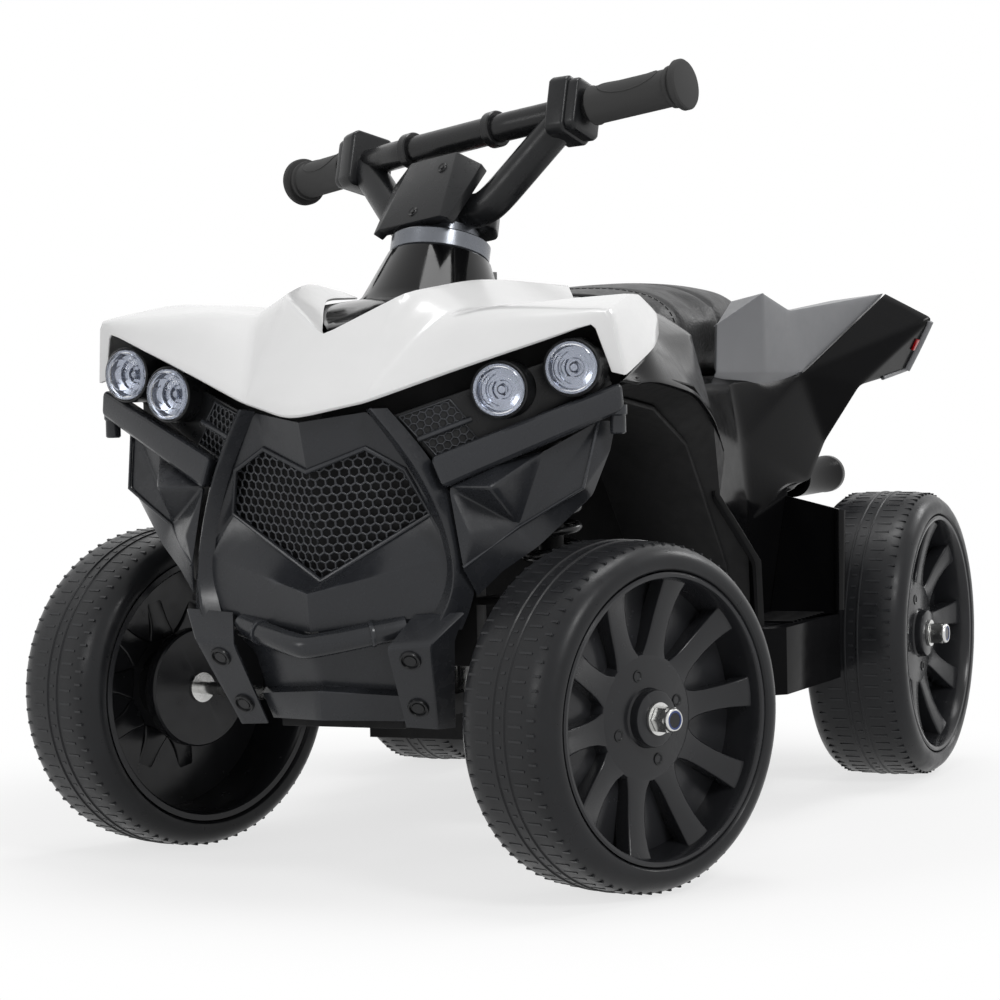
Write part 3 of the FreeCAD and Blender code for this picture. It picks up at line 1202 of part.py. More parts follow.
def make_bumper():
    """The grey front guard: nose, curved pillars, chin, skid legs and lower plate round the grille."""
    nose = from_front(
        peak=(108, 0, 141), brow=(93, 34, 146), grille_v=(97, 0, 113), grille_up=(89, 31.4, 126),
        bend=(83, 52, 114), bend_out=(81, 58, 117), grille_out=(70, 61, 89),
        grille_low=(84, 0, 52), chin=(102.4, 0, 46.5),
        chin_low=(99.8, 0, 25), cheek=(75, 70, 66), jaw=(78, 62, 34), throat=(90, 0, 10),
        throat_out=(82, 44, 12), hem=(68, 0, -16), hem_out=(68, 41, -16),
        toe=(64.7, 0, -26.4), toe_out=(64.7, 39, -26.4))
    faces = [
        ("peak", "grille_v", "grille_up", "brow"), ("brow", "grille_up", "bend", "bend_out"),
        ("bend_out", "bend", "grille_out", "cheek"), ("grille_out", "grille_low", "chin", "cheek"),
        ("cheek", "chin", "chin_low", "jaw"),
        ("jaw", "chin_low", "throat", "throat_out"), ("throat_out", "throat", "hem", "hem_out"),
        ("hem_out", "hem", "toe", "toe_out")]
    whole, all_faces = both_sides(nose, faces)
    centre = skin("bumper_centre", whole, all_faces, inwards(1, 0, 0))
    pillar = from_front(
        i0=(93, 35, 146), o0=(92, 45, 147), p0=(100, 40, 147),
        i1=(83, 54, 119), o1=(80, 65, 121), p1=(89, 60, 120),
        i2=(74, 68, 88), o2=(70, 80, 88), p2=(79, 74, 88), i3=(70, 75, 46), o3=(66, 89, 46), p3=(76, 82, 46),
        i4=(90, 50, 30), o4=(86, 75, 32), i5=(100, 49, 12), o5=(98, 71, 14),
        i6=(68, 43, -30), o6=(66, 61, -31))
    rows = [("i0", "p0", "o0"), ("i1", "p1", "o1"), ("i2", "p2", "o2"), ("i3", "p3", "o3")]
    ridge = []
    for upper, lower in zip(rows, rows[1:]):
        ridge += [(upper[k], lower[k], lower[k + 1], upper[k + 1]) for k in (0, 1)]
    ridge += [("i3", "i4", "p3"), ("p3", "i4", "o4", "o3"), ("i4", "i5", "o5", "o4"), ("i5", "i6", "o6", "o5")]
    leg = skin("bumper_leg", pillar, ridge, inwards(1.6, 0, 0))
    bar_x, half, bar_z = FRONT_X + size("guard_bar_x"), size("guard_bar_half"), SILL + size("guard_bar_rise")
    bar = rod("bumper_bar", size("guard_bar_radius"), 2 * half, (bar_x, -half, bar_z), TO_LEFT)
    blank = fuse("bumper_blank", [centre, leg, mirrored("bumper_leg_right", leg), bar])
    bolts, bores = [], []
    for name, spot in bolt_spots():
        back = tuple(spot - X_AXIS * num("bolt_length") * 0.6)
        radius, length = size("bolt_radius"), size("bolt_length")
        bolts.append(rod(f"bumper_bolt_{name}", radius, length, back, TO_FRONT))
        bores.append(rod(f"bumper_bore_{name}", radius + size("run_gap"), 8 * length, back, TO_FRONT))
    node("front_bumper", cut("front_bumper", blank, fuse("bumper_bores", bores)))
    node("bumper_bolts", group("bumper_bolts", bolts))


def make_bumper_wings():
    """The bar under each lamp pair and the faceted wing below it."""
    beam = from_front(
        top_in=(83, 70, 117), top_out=(37, 162, 158), low_in=(83, 76, 104), low_out=(38, 163, 142),
        back_in=(70, 70, 115), back_out=(27, 158, 156))
    beam_faces = [("top_in", "low_in", "low_out", "top_out"), ("top_in", "top_out", "back_out", "back_in")]
    wing = from_front(
        inner=(77, 78, 101), middle=(68, 84, 86), outer=(42, 152, 136), tip=(64, 93, 48), rim=(50, 124, 76),
        peak=(82, 108, 100))
    wing_faces = [("inner", "peak", "outer"), ("outer", "peak", "rim"), ("rim", "peak", "tip"),
                  ("tip", "peak", "middle"), ("middle", "peak", "inner")]
    parts = [skin("bumper_beam", beam, beam_faces, inwards(1, 0, 1)),
             skin("bumper_wing", wing, [tuple(reversed(f)) for f in wing_faces], inwards(1, 0, 0))]
    left = fuse("bumper_wing_left", parts)
    node("bumper_wings", group("bumper_wings", [left, mirrored("bumper_wing_right", left)]))


def make_grille():
    """Two flat halves of hexagon mesh that meet at the middle of the nose."""
    spots = from_front(
        top=(94, 0, 114), low=(81, 0, 51), out=(66.5, 62, 89), up=(85, 33, 127), bend=(76, 53, 115))
    across = (spots["out"] - spots["low"])
    up = (spots["top"] - spots["low"]).normalize()
    across = (across - up * across.dot(up)).normalize()
    normal = across.cross(up)
    ring = [spots[k] for k in ("low", "out", "bend", "up", "top")]
    frame = [spot - normal * (spot - spots["low"]).dot(normal) for spot in ring]
    plate = Part.Face(Part.makePolygon([*frame, frame[0]]))
    pitch, reach = num("grille_pitch"), num("grille_hole")
    holes = []
    for i in range(-2, 14):
        for j in range(-2, 14):
            centre = spots["low"] + across * (pitch * (i + 0.5 * (j % 2))) + up * (pitch * 0.866 * j)
            ring = [centre + (across * math.sin(a) + up * math.cos(a)) * reach
                    for a in (math.radians(60 * k) for k in range(6))]
            hexagon = Part.Face(Part.makePolygon([*ring, ring[0]]))
            if plate.common(hexagon).Area > 0.999 * hexagon.Area:
                holes.append(hexagon)
    mesh = plate.cut(holes).extrude(normal * -num("grille_thickness"))
    left = solid_feature("grille_left", mesh)
    node("grille_mesh", group("grille_mesh", [left, mirrored("grille_right", left)]))


def seat_section(x, half, base_half, shoulder, top, base):
    """One cross section of the cushion: flat base, drawn-in sides and a crowned top."""
    side = half * 0.9
    right = [Vector(x, base_half, base), Vector(x, half, (base + shoulder) / 2), Vector(x, side, shoulder)]
    left = [Vector(p.x, -p.y, p.z) for p in right]
    edges = [
        Part.LineSegment(left[0], right[0]).toShape(), Part.Arc(*right).toShape(),
        Part.Arc(right[2], Vector(x, 0, top), left[2]).toShape(), Part.Arc(*reversed(left)).toShape()]
    return Part.Wire(edges)


def make_seat():
    """A crowned cushion, narrow at the front, with two sewn channels across it and a raised back."""
    datum_x, base = num("front_axle_x") - num("wheelbase"), num("deck_z") + num("seat_gap")
    stations = [
        (196, 40, 34, 318, 326), (178, 58, 52, 322, 331), (140, 70, 64, 325, 335), (133, 69, 63, 323, 332),
        (126, 72, 66, 325, 335), (80, 77, 70, 327, 337), (73, 76, 69, 325, 334), (66, 77, 70, 327, 337),
        (20, 74, 66, 322, 333), (2, 60, 54, 312, 320)]
    wires = [seat_section(datum_x + x, *rest, base) for x, *rest in stations]
    node("seat", solid_feature("seat", Part.makeLoft(wires, True, True)))


def make_exhausts():
    """Short tail pipes beside the tunnel, open at the back."""
    pipes = []
    length, radius, bore = size("pipe_length"), size("pipe_radius"), size("pipe_bore")
    for name, side in SIDES.items():
        pipe = turned(f"pipe_{name}", [
            (0, 0), (radius, 0), (radius, length), (bore, length), (bore, length / 2), (0, length / 2)])
        start = (REAR_X + size("pipe_front"), side * size("pipe_y"), size("pipe_z"))
        pipes.append(place(pipe, start, Rotation(Y_AXIS, -90)))
    node("tail_pipes", group("tail_pipes", pipes))


def build():
    for make in (make_wheels, make_knuckles, make_tie_rod, make_column, make_handlebar, make_grips, make_console,
                 make_chassis, make_body_frame, make_front_beam, make_springs, make_rear_axle, make_drive,
                 make_battery, make_hood, make_dash, make_front_fenders, make_wheel_liners, make_side_panels,
                 make_rear_fenders, make_tail, make_footrests, make_switches, make_headlamps, make_bumper,
                 make_bumper_wings, make_grille, make_seat, make_exhausts):
        make()
        doc.recompute()


def check():
    """Stops the build if any object failed or any sub-part is empty or broken."""
    failed = [thing.Name for thing in doc.Objects if {"Invalid", "Error"} & set(thing.State)]
    broken = [label for label, thing in NODES.items() if thing.Shape.isNull() or not thing.Shape.isValid()]
    if failed or broken:
        raise RuntimeError(f"failed objects {failed}, broken sub-parts {broken}")


def write():
    os.makedirs("parts", exist_ok=True)
    for label, thing in NODES.items():
        thing.Shape.exportStep(f"parts/{label}.step")
    print(len(NODES), "sub-parts written")


build()
check()
write()
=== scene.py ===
"""Dresses a child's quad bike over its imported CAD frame, and sets it in a pale studio.

Tables give lengths in millimetres in the frame of the part: X forward, Y to the rider's left, Z up.
Meshes are in metres.
"""

import json
import logging
import math
from collections.abc import Callable
from dataclasses import dataclass, field
from enum import Enum
from typing import Any

import bmesh
import bpy
from mathutils import Matrix, Vector
from mathutils.bvhtree import BVHTree

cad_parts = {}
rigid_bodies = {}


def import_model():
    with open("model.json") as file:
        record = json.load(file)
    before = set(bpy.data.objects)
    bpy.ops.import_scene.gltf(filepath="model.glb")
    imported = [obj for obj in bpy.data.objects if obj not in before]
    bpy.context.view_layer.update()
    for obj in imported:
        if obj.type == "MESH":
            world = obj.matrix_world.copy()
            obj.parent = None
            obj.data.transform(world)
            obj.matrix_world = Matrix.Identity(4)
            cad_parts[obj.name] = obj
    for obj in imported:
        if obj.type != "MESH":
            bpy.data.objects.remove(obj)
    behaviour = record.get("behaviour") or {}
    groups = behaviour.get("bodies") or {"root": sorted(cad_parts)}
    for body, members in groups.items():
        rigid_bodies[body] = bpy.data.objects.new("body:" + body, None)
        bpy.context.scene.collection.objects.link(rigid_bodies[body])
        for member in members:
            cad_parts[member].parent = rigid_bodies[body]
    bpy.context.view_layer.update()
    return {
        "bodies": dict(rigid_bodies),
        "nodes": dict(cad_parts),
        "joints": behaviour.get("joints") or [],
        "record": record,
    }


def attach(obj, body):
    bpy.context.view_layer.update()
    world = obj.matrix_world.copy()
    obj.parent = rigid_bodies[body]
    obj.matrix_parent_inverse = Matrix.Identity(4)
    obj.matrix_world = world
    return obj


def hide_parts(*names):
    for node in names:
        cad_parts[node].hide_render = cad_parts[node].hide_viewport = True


LOG = logging.getLogger("quad_bike")
MM = 0.001
FRONT_DATUM = Vector((209.3, 0.0, 120.0))
REAR_DATUM = Vector((-245.7, 0.0, 120.0))

# Noise, painted edge highlights and relief of the finishes
CLOUD_SCALE = 38.0
HAZE_SCALE = 120.0
LENS_HAZE_SCALE = 90.0
LENS_HAZE = (0.015, 0.05)
NOISE_ROUGHNESS = 0.55
NOISE_LOW, NOISE_HIGH = 0.3, 0.7
COAT_ROUGHNESS = 0.08
# Painted highlight on convex edges: where it starts and ends in pointiness, and how pale it gets
EDGE_HIGHLIGHT_FROM, EDGE_HIGHLIGHT_TO = 0.52, 0.62
EDGE_HIGHLIGHT_GAIN, EDGE_HIGHLIGHT_LIFT = 3.0, 0.02
GRAIN_BUMP = 0.0004
LEATHER_BUMP = 0.0006
BRUSHED_STRETCH = (1.0, 1.0, 24.0)

# Sockets of a Mix node in colour mode
MIX_FACTOR, MIX_FIRST, MIX_SECOND, MIX_RESULT = 0, 6, 7, 2

# Merge distances in metres
SAME_POINT = 1e-6
SAME_CAD_POINT = 2e-6
SAME_CORNER = 1e-5
SAME_STRAND_POINT = 2e-5
NO_LENGTH = 1e-7

# Angles in degrees: flat faces that are joined, and edges that stay sharp
FLAT_ANGLE = 0.6
SHARP_BEVEL = 40.0
SHARP_TURNED = 34.0
SHARP_TUBE = 50.0
SHARP_SHELL = 38.0
SHELL_ROUND_ANGLE = 55.0
CURVE_STEPS = 8

Point = tuple[float, float, float]
Profile = list[tuple[float, float]]
Faces = list[tuple[int, ...]]
Thing = bpy.types.Object
Node = bpy.types.Node
Socket = bpy.types.NodeSocket
Material = bpy.types.Material
BMesh = bmesh.types.BMesh


class Side(Enum):
    """The two sides of the bike, as the sign of Y."""

    LEFT = 1
    RIGHT = -1


class Grain(Enum):
    """The kind of fine relief that a finish carries."""

    SPARK = "spark"
    LEATHER = "leather"
    BRUSHED = "brushed"


def table(value: Any) -> Any:
    """A dataclass default that is a list, a dict or a vector."""
    return field(default_factory=lambda: value)


def on_side(point: Vector, side: Side) -> Vector:
    """A point given for the left, on either side."""
    return Vector((point.x, side.value * point.y, point.z))


def turn_to(direction: Vector) -> Matrix:
    """The turn that points Z along a direction."""
    return direction.to_track_quat("Z", "Y").to_matrix()


def turn_about(axis: str, degrees: float) -> Matrix:
    """A turn about one of the axes."""
    return Matrix.Rotation(math.radians(degrees), 3, axis)


def from_front(**points: Point) -> dict[str, Vector]:
    """Corners that are measured from the front axle line and the sill."""
    return {name: FRONT_DATUM + Vector(p) for name, p in points.items()}


def from_rear(**points: Point) -> dict[str, Vector]:
    """Corners that are measured from the rear axle line and the sill."""
    return {name: REAR_DATUM + Vector(p) for name, p in points.items()}


class Tree:
    """A node tree that is built up node by node."""

    def __init__(self, tree: bpy.types.NodeTree) -> None:
        """Takes a tree and empties it."""
        self.tree = tree
        self.tree.nodes.clear()

    def add(self, kind: str, given: dict | None = None, **settings: Any) -> Node:
        """Adds a node and fills its inputs.

        Args:
            kind: the node's type name.
            given: sockets to join, or constants, by input name or number.
            settings: properties of the node itself.

        Returns:
            The new node.
        """
        node = self.tree.nodes.new(kind)
        for key, value in settings.items():
            setattr(node, key, value)
        for key, value in (given or {}).items():
            if isinstance(value, Socket):
                self.tree.links.new(value, node.inputs[key])
            else:
                node.inputs[key].default_value = value
        return node


class Graph(Tree):
    """A material's node tree with its shader."""

    def __init__(self, name: str) -> None:
        """Makes an empty material with a Principled shader on its output.

        Args:
            name: the new name.
        """
        self.material = bpy.data.materials.new(name)
        self.material.use_nodes = True
        super().__init__(self.material.node_tree)
        self.shader = self.add("ShaderNodeBsdfPrincipled")
        self.output = self.add("ShaderNodeOutputMaterial", {"Surface": self.shader.outputs["BSDF"]})
        self.coords = self.add("ShaderNodeTexCoord").outputs["Object"]

    def feed(self, name: str, source: Socket) -> None:
        """Joins an output to one of the shader's own inputs."""
        self.tree.links.new(source, self.shader.inputs[name])

    def noise(self, scale: float, detail: float = 3.0, stretch: Point = (1.0, 1.0, 1.0)) -> Socket:
        """A noise texture on object coordinates.

        Args:
            scale: how fine the noise is.
            detail: its octaves.
            stretch: how it is squeezed along each axis.

        Returns:
            Its output.
        """
        mapping = self.add("ShaderNodeMapping", {"Vector": self.coords, "Scale": stretch})
        given = {"Vector": mapping.outputs["Vector"], "Scale": scale, "Detail": detail,
                 "Roughness": NOISE_ROUGHNESS}
        return self.add("ShaderNodeTexNoise", given).outputs["Fac"]

    def ramp(self, source: Socket, stops: list[tuple[float, tuple]]) -> Socket:
        """A colour ramp over one output, from its first stop to its second.

        Args:
            source: the output.
            stops: places and colours.

        Returns:
            Its colour.
        """
        node = self.add("ShaderNodeValToRGB", {"Fac": source})
        for element, (place, colour) in zip(node.color_ramp.elements, stops):
            element.position = place
            element.color = (*colour, 1.0)
        return node.outputs["Color"]

    def spread(self, source: Socket, low: float, high: float) -> Socket:
        """Maps a noise output to a range of numbers."""
        given = {"Value": source, "From Min": NOISE_LOW, "From Max": NOISE_HIGH, "To Min": low,
                 "To Max": high}
        return self.add("ShaderNodeMapRange", given).outputs["Result"]

    def bump(self, height: Socket, strength: float, distance: float) -> None:
        """Raises the shader's normal by one output."""
        node = self.add("ShaderNodeBump", {"Height": height, "Strength": strength, "Distance": distance})
        self.feed("Normal", node.outputs["Normal"])

    def constant(self, **values: Any) -> None:
        """Sets plain numbers on the shader's own sockets."""
        for key, value in values.items():
            self.shader.inputs[key.replace("_", " ")].default_value = value


@dataclass(frozen=True)
class Finish:
    """A surface of the bike: colour, gloss, fine relief and a painted highlight along its convex edges."""

    name: str
    colour: Point
    roughness: float
    slot: str
    metallic: float = 0.0
    coat: float = 0.0
    specular: float = 0.5
    mottle: float = 0.08
    haze: float = 0.06
    grain: Grain = Grain.SPARK
    grain_scale: float = 1400.0
    grain_depth: float = 0.08
    # Strength of the painted highlight that lightens convex edges
    edge_highlight: float = 0.0
    sheen: float = 0.0

    def material(self) -> Material:
        """The finish as a node material, made once."""
        known = bpy.data.materials.get(self.name)
        return known if known else self.build()

    def build(self) -> Material:
        """Builds the nodes.

        Returns:
            The material.
        """
        graph = Graph(self.name)
        graph.constant(Metallic=self.metallic, Coat_Weight=self.coat, Coat_Roughness=COAT_ROUGHNESS,
                       Sheen_Weight=self.sheen, Specular_IOR_Level=self.specular)
        shades = [tuple(c * (1 + sign * self.mottle) for c in self.colour) for sign in (-1, 1)]
        tint = graph.ramp(graph.noise(CLOUD_SCALE), [(NOISE_LOW, shades[0]), (NOISE_HIGH, shades[1])])
        # Painted highlight: convex edges are given a lighter base colour
        graph.feed("Base Color", self.paint_edge_highlight(graph, tint) if self.edge_highlight > 0 else tint)
        haze = graph.spread(graph.noise(HAZE_SCALE), self.roughness - self.haze, self.roughness + self.haze)
        graph.feed("Roughness", haze)
        self.relief(graph)
        return graph.material

    def paint_edge_highlight(self, graph: Graph, tint: Socket) -> Socket:
        """Lightens the colour on convex edges as a painted highlight.

        Args:
            graph: the material's tree.
            tint: the plain colour.

        Returns:
            The mixed colour.
        """
        bend = graph.add("ShaderNodeNewGeometry").outputs["Pointiness"]
        edge = graph.ramp(bend, [(EDGE_HIGHLIGHT_FROM, (0, 0, 0)), (EDGE_HIGHLIGHT_TO, (self.edge_highlight,) * 3)])
        pale = [min(1.0, c * EDGE_HIGHLIGHT_GAIN + EDGE_HIGHLIGHT_LIFT) for c in self.colour]
        given = {MIX_FACTOR: edge, MIX_FIRST: tint, MIX_SECOND: (*pale, 1.0)}
        return graph.add("ShaderNodeMix", given, data_type="RGBA").outputs[MIX_RESULT]

    def relief(self, graph: Graph) -> None:
        """Adds the fine relief of the finish.

        Args:
            graph: the material's tree.
        """
        if self.grain is Grain.LEATHER:
            given = {"Vector": graph.coords, "Scale": self.grain_scale}
            cells = graph.add("ShaderNodeTexVoronoi", given, feature="SMOOTH_F1")
            graph.bump(cells.outputs["Distance"], self.grain_depth, LEATHER_BUMP)
            return
        stretch = BRUSHED_STRETCH if self.grain is Grain.BRUSHED else (1.0, 1.0, 1.0)
        graph.bump(graph.noise(self.grain_scale, 2.0, stretch), self.grain_depth, GRAIN_BUMP)


@dataclass(frozen=True)
class ClearLens:
    """Clear lamp plastic."""

    name: str = "lens_plastic"
    slot: str = "lens_clear"

    def material(self) -> Material:
        """The lens as a node material, made once.

        Returns:
            The material.
        """
        known = bpy.data.materials.get(self.name)
        if known:
            return known
        graph = Graph(self.name)
        graph.constant(Base_Color=(0.97, 0.98, 1.0, 1.0), Transmission_Weight=1.0, IOR=1.2)
        graph.feed("Roughness", graph.spread(graph.noise(LENS_HAZE_SCALE), *LENS_HAZE))
        return graph.material


# The edge amount on several finishes below is a painted highlight that lightens their convex edges
WHITE = Finish("white_shell_gloss", (0.80, 0.80, 0.80), 0.24, "white_shell", coat=0.35, mottle=0.012,
               haze=0.03, grain_scale=700.0, grain_depth=0.015)
GREY_BUMPER = Finish("bumper_satin", (0.021, 0.0225, 0.026), 0.26, "bumper_grey", mottle=0.06,
                     grain_depth=0.04, specular=0.32, edge_highlight=0.3)
GREY_FENDER = Finish("fender_satin", (0.175, 0.178, 0.188), 0.36, "fender_grey", mottle=0.03,
                     grain_depth=0.05)
GLOSS = Finish("gloss_black_shell", (0.004, 0.004, 0.0044), 0.1, "gloss_black", haze=0.04, grain_scale=500.0,
               grain_depth=0.02, specular=0.15)
FLANK = Finish("gloss_black_flank", (0.0045, 0.0045, 0.005), 0.16, "gloss_black", haze=0.04,
               grain_scale=500.0, grain_depth=0.02, specular=0.035)
SATIN = Finish("satin_black_moulding", (0.011, 0.0115, 0.0125), 0.3, "satin_black", grain_depth=0.12,
               edge_highlight=0.15, specular=0.25)
BAR = Finish("bar_black_satin", (0.010, 0.0102, 0.011), 0.26, "bar_black", grain_depth=0.08, edge_highlight=0.12,
             specular=0.3)
COLLAR = Finish("collar_grey_satin", (0.16, 0.17, 0.19), 0.25, "bar_black", metallic=0.7, grain_depth=0.03)
ROUGH = Finish("rough_black_inner", (0.006, 0.006, 0.0064), 0.62, "rough_black", grain_depth=0.16,
               specular=0.2)
TYRE = Finish("tyre_hard_plastic", (0.013, 0.0135, 0.015), 0.34, "tyre_black", mottle=0.12, haze=0.08,
              grain_depth=0.1, edge_highlight=0.25, specular=0.22)
RIM = Finish("rim_charcoal_satin", (0.016, 0.0165, 0.0185), 0.22, "rim_charcoal", mottle=0.07,
             grain_depth=0.08, edge_highlight=0.2, specular=0.3)
RUBBER = Finish("grip_rubber", (0.010, 0.0102, 0.011), 0.52, "grip_rubber", grain_depth=0.25, edge_highlight=0.12,
                specular=0.25)
STEEL = Finish("zinc_steel", (0.62, 0.62, 0.61), 0.26, "steel", metallic=1.0, grain=Grain.BRUSHED,
               grain_scale=160.0, grain_depth=0.06)
LEATHER = Finish("seat_leatherette", (0.013, 0.0132, 0.014), 0.46, "seat_cover", grain=Grain.LEATHER,
                 grain_scale=620.0, grain_depth=0.35, sheen=0.08, specular=0.3)
NYLON = Finish("gear_nylon", (0.55, 0.54, 0.50), 0.4, "nylon", mottle=0.03)
INSERT = Finish("lock_ring_nylon", (0.012, 0.035, 0.16), 0.4, "nylon")
MIRROR = Finish("lamp_mirror", (0.34, 0.36, 0.41), 0.26, "reflector", metallic=1.0, grain_depth=0.03)
RED_LENS = Finish("tail_red_lens", (0.42, 0.006, 0.008), 0.16, "lamp_red", coat=0.5, mottle=0.05)
BATTERY = Finish("battery_case", (0.05, 0.05, 0.052), 0.5, "battery_grey")
RED_ROCKER = Finish("rocker_red", (0.36, 0.012, 0.012), 0.3, "switch_red", mottle=0.03)
BLACK_ROCKER = Finish("rocker_black", (0.02, 0.02, 0.02), 0.34, "switch_black")
LENS = ClearLens()


def new_object(name: str, data: bpy.types.ID) -> Thing:
    """Links a mesh, curve, camera or light into the scene as an object at the origin."""
    thing = bpy.data.objects.new(name, data)
    bpy.context.scene.collection.objects.link(thing)
    return thing


def mesh_of(name: str, points: list[Vector], faces: Faces) -> Thing:
    """An object from points in millimetres and faces, with doubles merged and normals turned outwards.

    Args:
        name: the object's name.
        points: corners in millimetres.
        faces: corner numbers of each face.

    Returns:
        The new object.
    """
    mesh = bpy.data.meshes.new(name)
    mesh.from_pydata([tuple(Vector(p) * MM) for p in points], [], faces)
    thing = new_object(name, mesh)
    edit(thing, tidy)
    return thing


def wire(name: str, points: list[Vector], edges: list[tuple[int, int]]) -> Thing:
    """An object of bare edges from points in millimetres."""
    mesh = bpy.data.meshes.new(name)
    mesh.from_pydata([tuple(p * MM) for p in points], edges, [])
    return new_object(name, mesh)


def band(near: int, far: int, count: int) -> Faces:
    """The faces between two rings of corners.

    Args:
        near: the number of the first ring's first corner.
        far: the number of the second ring's first corner.
        count: corners in a ring.

    Returns:
        One face for each corner of a ring.
    """
    return [(near + i, near + (i + 1) % count, far + (i + 1) % count, far + i) for i in range(count)]


def tidy(bm: BMesh) -> None:
    """Merges doubles and turns the normals outwards."""
    bmesh.ops.remove_doubles(bm, verts=bm.verts, dist=SAME_POINT)
    bmesh.ops.recalc_face_normals(bm, faces=bm.faces)


def edit(thing: Thing, change: Callable[[BMesh], object]) -> None:
    """Runs one change on an object's mesh.

    Args:
        thing: the object.
        change: what is done to the mesh while it is open for edits.
    """
    bm = bmesh.new()
    bm.from_mesh(thing.data)
    change(bm)
    bm.to_mesh(thing.data)
    bm.free()
    thing.data.update()


def baked(thing: Thing) -> Thing:
    """Turns an object with modifiers into a plain mesh.

    Args:
        thing: the object.

    Returns:
        The piece.
    """
    graph = bpy.context.evaluated_depsgraph_get()
    mesh = bpy.data.meshes.new_from_object(thing.evaluated_get(graph), depsgraph=graph)
    name = thing.name
    bpy.data.objects.remove(thing)
    return new_object(name, mesh)


def shade(thing: Thing, angle: float = 32.0) -> Thing:
    """Smooth shading with sharp edges above an angle in degrees."""
    thing.data.shade_smooth()
    thing.data.set_sharp_from_angle(angle=math.radians(angle))
    return thing


def bevelled(thing: Thing, width: float, segments: int = 2, angle: float = 28.0) -> Thing:
    """Rounds the edges of an object that are sharper than an angle.

    Args:
        thing: the object.
        width: millimetres.
        segments: steps of the round.
        angle: degrees.

    Returns:
        The rounded object as a plain mesh.
    """
    rounder = thing.modifiers.new("round", "BEVEL")
    rounder.width = width * MM
    rounder.segments = segments
    rounder.limit_method = "ANGLE"
    rounder.angle_limit = math.radians(angle)
    return shade(baked(thing), SHARP_BEVEL)


def moved(thing: Thing, matrix: Matrix) -> Thing:
    """Moves the mesh itself by a matrix in metres."""
    thing.data.transform(matrix)
    thing.data.update()
    return thing


def shifted(thing: Thing, spot: Vector | Point) -> Thing:
    """Moves the mesh itself by millimetres."""
    return moved(thing, Matrix.Translation(Vector(spot) * MM))


def coated(thing: Thing, finish: Finish | ClearLens) -> None:
    """Gives an object one finish in place of its materials."""
    thing.data.materials.clear()
    thing.data.materials.append(finish.material())


def joined(name: str, things: list[Thing]) -> Thing:
    """Puts several meshes of one finish into one object.

    Args:
        name: the new name.
        things: the objects, which are used up.

    Returns:
        The piece.
    """
    bm = bmesh.new()
    for thing in things:
        bm.from_mesh(thing.data)
    mesh = bpy.data.meshes.new(name)
    bm.to_mesh(mesh)
    bm.free()
    for thing in things:
        bpy.data.objects.remove(thing)
    return new_object(name, mesh)


def twin(thing: Thing, name: str) -> Thing:
    """The mirror image across the middle plane, with its faces turned outwards again.

    Args:
        thing: the object.
        name: the new name.

    Returns:
        The piece.
    """
    copy = new_object(name, thing.data.copy())
    copy.data.transform(Matrix.Diagonal((1, -1, 1, 1)))
    copy.data.flip_normals()
    return copy


def with_twin(name: str, thing: Thing) -> Thing:
    """One object that holds a piece and its mirror image."""
    return joined(name, [thing, twin(thing, name + "_twin")])


def placement(spot: Vector, matrix: Matrix) -> Matrix:
    """A turn and then a shift to a spot in millimetres."""
    return Matrix.Translation(spot * MM) @ matrix.to_4x4()


def lathe(name: str, profile: Profile, segments: int) -> Thing:
    """Turns a profile of radius and height about Z.

    Args:
        name: the object's name.
        profile: pairs of radius and height in millimetres.
        segments: steps of the turn.

    Returns:
        The turned object.
    """
    points, faces = [], []
    count = len(profile)
    for step in range(segments):
        angle = 2 * math.pi * step / segments
        points += [Vector((r * math.cos(angle), r * math.sin(angle), z)) for r, z in profile]
    for step in range(segments):
        faces += band(step * count, (step + 1) % segments * count, count)
    thing = mesh_of(name, points, faces)
    edit(thing, lambda bm: bmesh.ops.dissolve_degenerate(bm, edges=bm.edges, dist=NO_LENGTH))
    edit(thing, tidy)
    return shade(thing, SHARP_TURNED)


def tube(name: str, points: list[Vector], radius: float, smooth: bool = True, sides: int = 6) -> Thing:
    """A round bar through points, closed at its ends.

    Args:
        name: the object's name.
        points: its centre line in millimetres.
        radius: millimetres.
        smooth: whether the line is rounded between its points.
        sides: how fine its round section is.

    Returns:
        The bar as a plain mesh.
    """
    curve = bpy.data.curves.new(name, "CURVE")
    curve.dimensions = "3D"
    curve.bevel_depth = radius * MM
    curve.bevel_resolution = sides
    curve.use_fill_caps = True
    spline = curve.splines.new("NURBS" if smooth else "POLY")
    spline.points.add(len(points) - 1)
    for knot, point in zip(spline.points, points):
        knot.co = (*(Vector(point) * MM), 1.0)
    spline.order_u = 3
    spline.use_endpoint_u = True
    spline.resolution_u = CURVE_STEPS
    curve.resolution_u = CURVE_STEPS
    return shade(baked(new_object(name, curve)), SHARP_TUBE)


def prism(name: str, outline: Profile, height: float) -> Thing:
    """A flat outline in X and Y drawn up along Z.

    Args:
        name: the object's name.
        outline: its corners in millimetres.
        height: millimetres.

    Returns:
        The new object.
    """
    count = len(outline)
    points = [Vector((x, y, z)) for z in (0.0, height) for x, y in outline]
    faces: Faces = [tuple(reversed(range(count))), tuple(range(count, 2 * count))]
    faces += band(0, count, count)
    return mesh_of(name, points, faces)


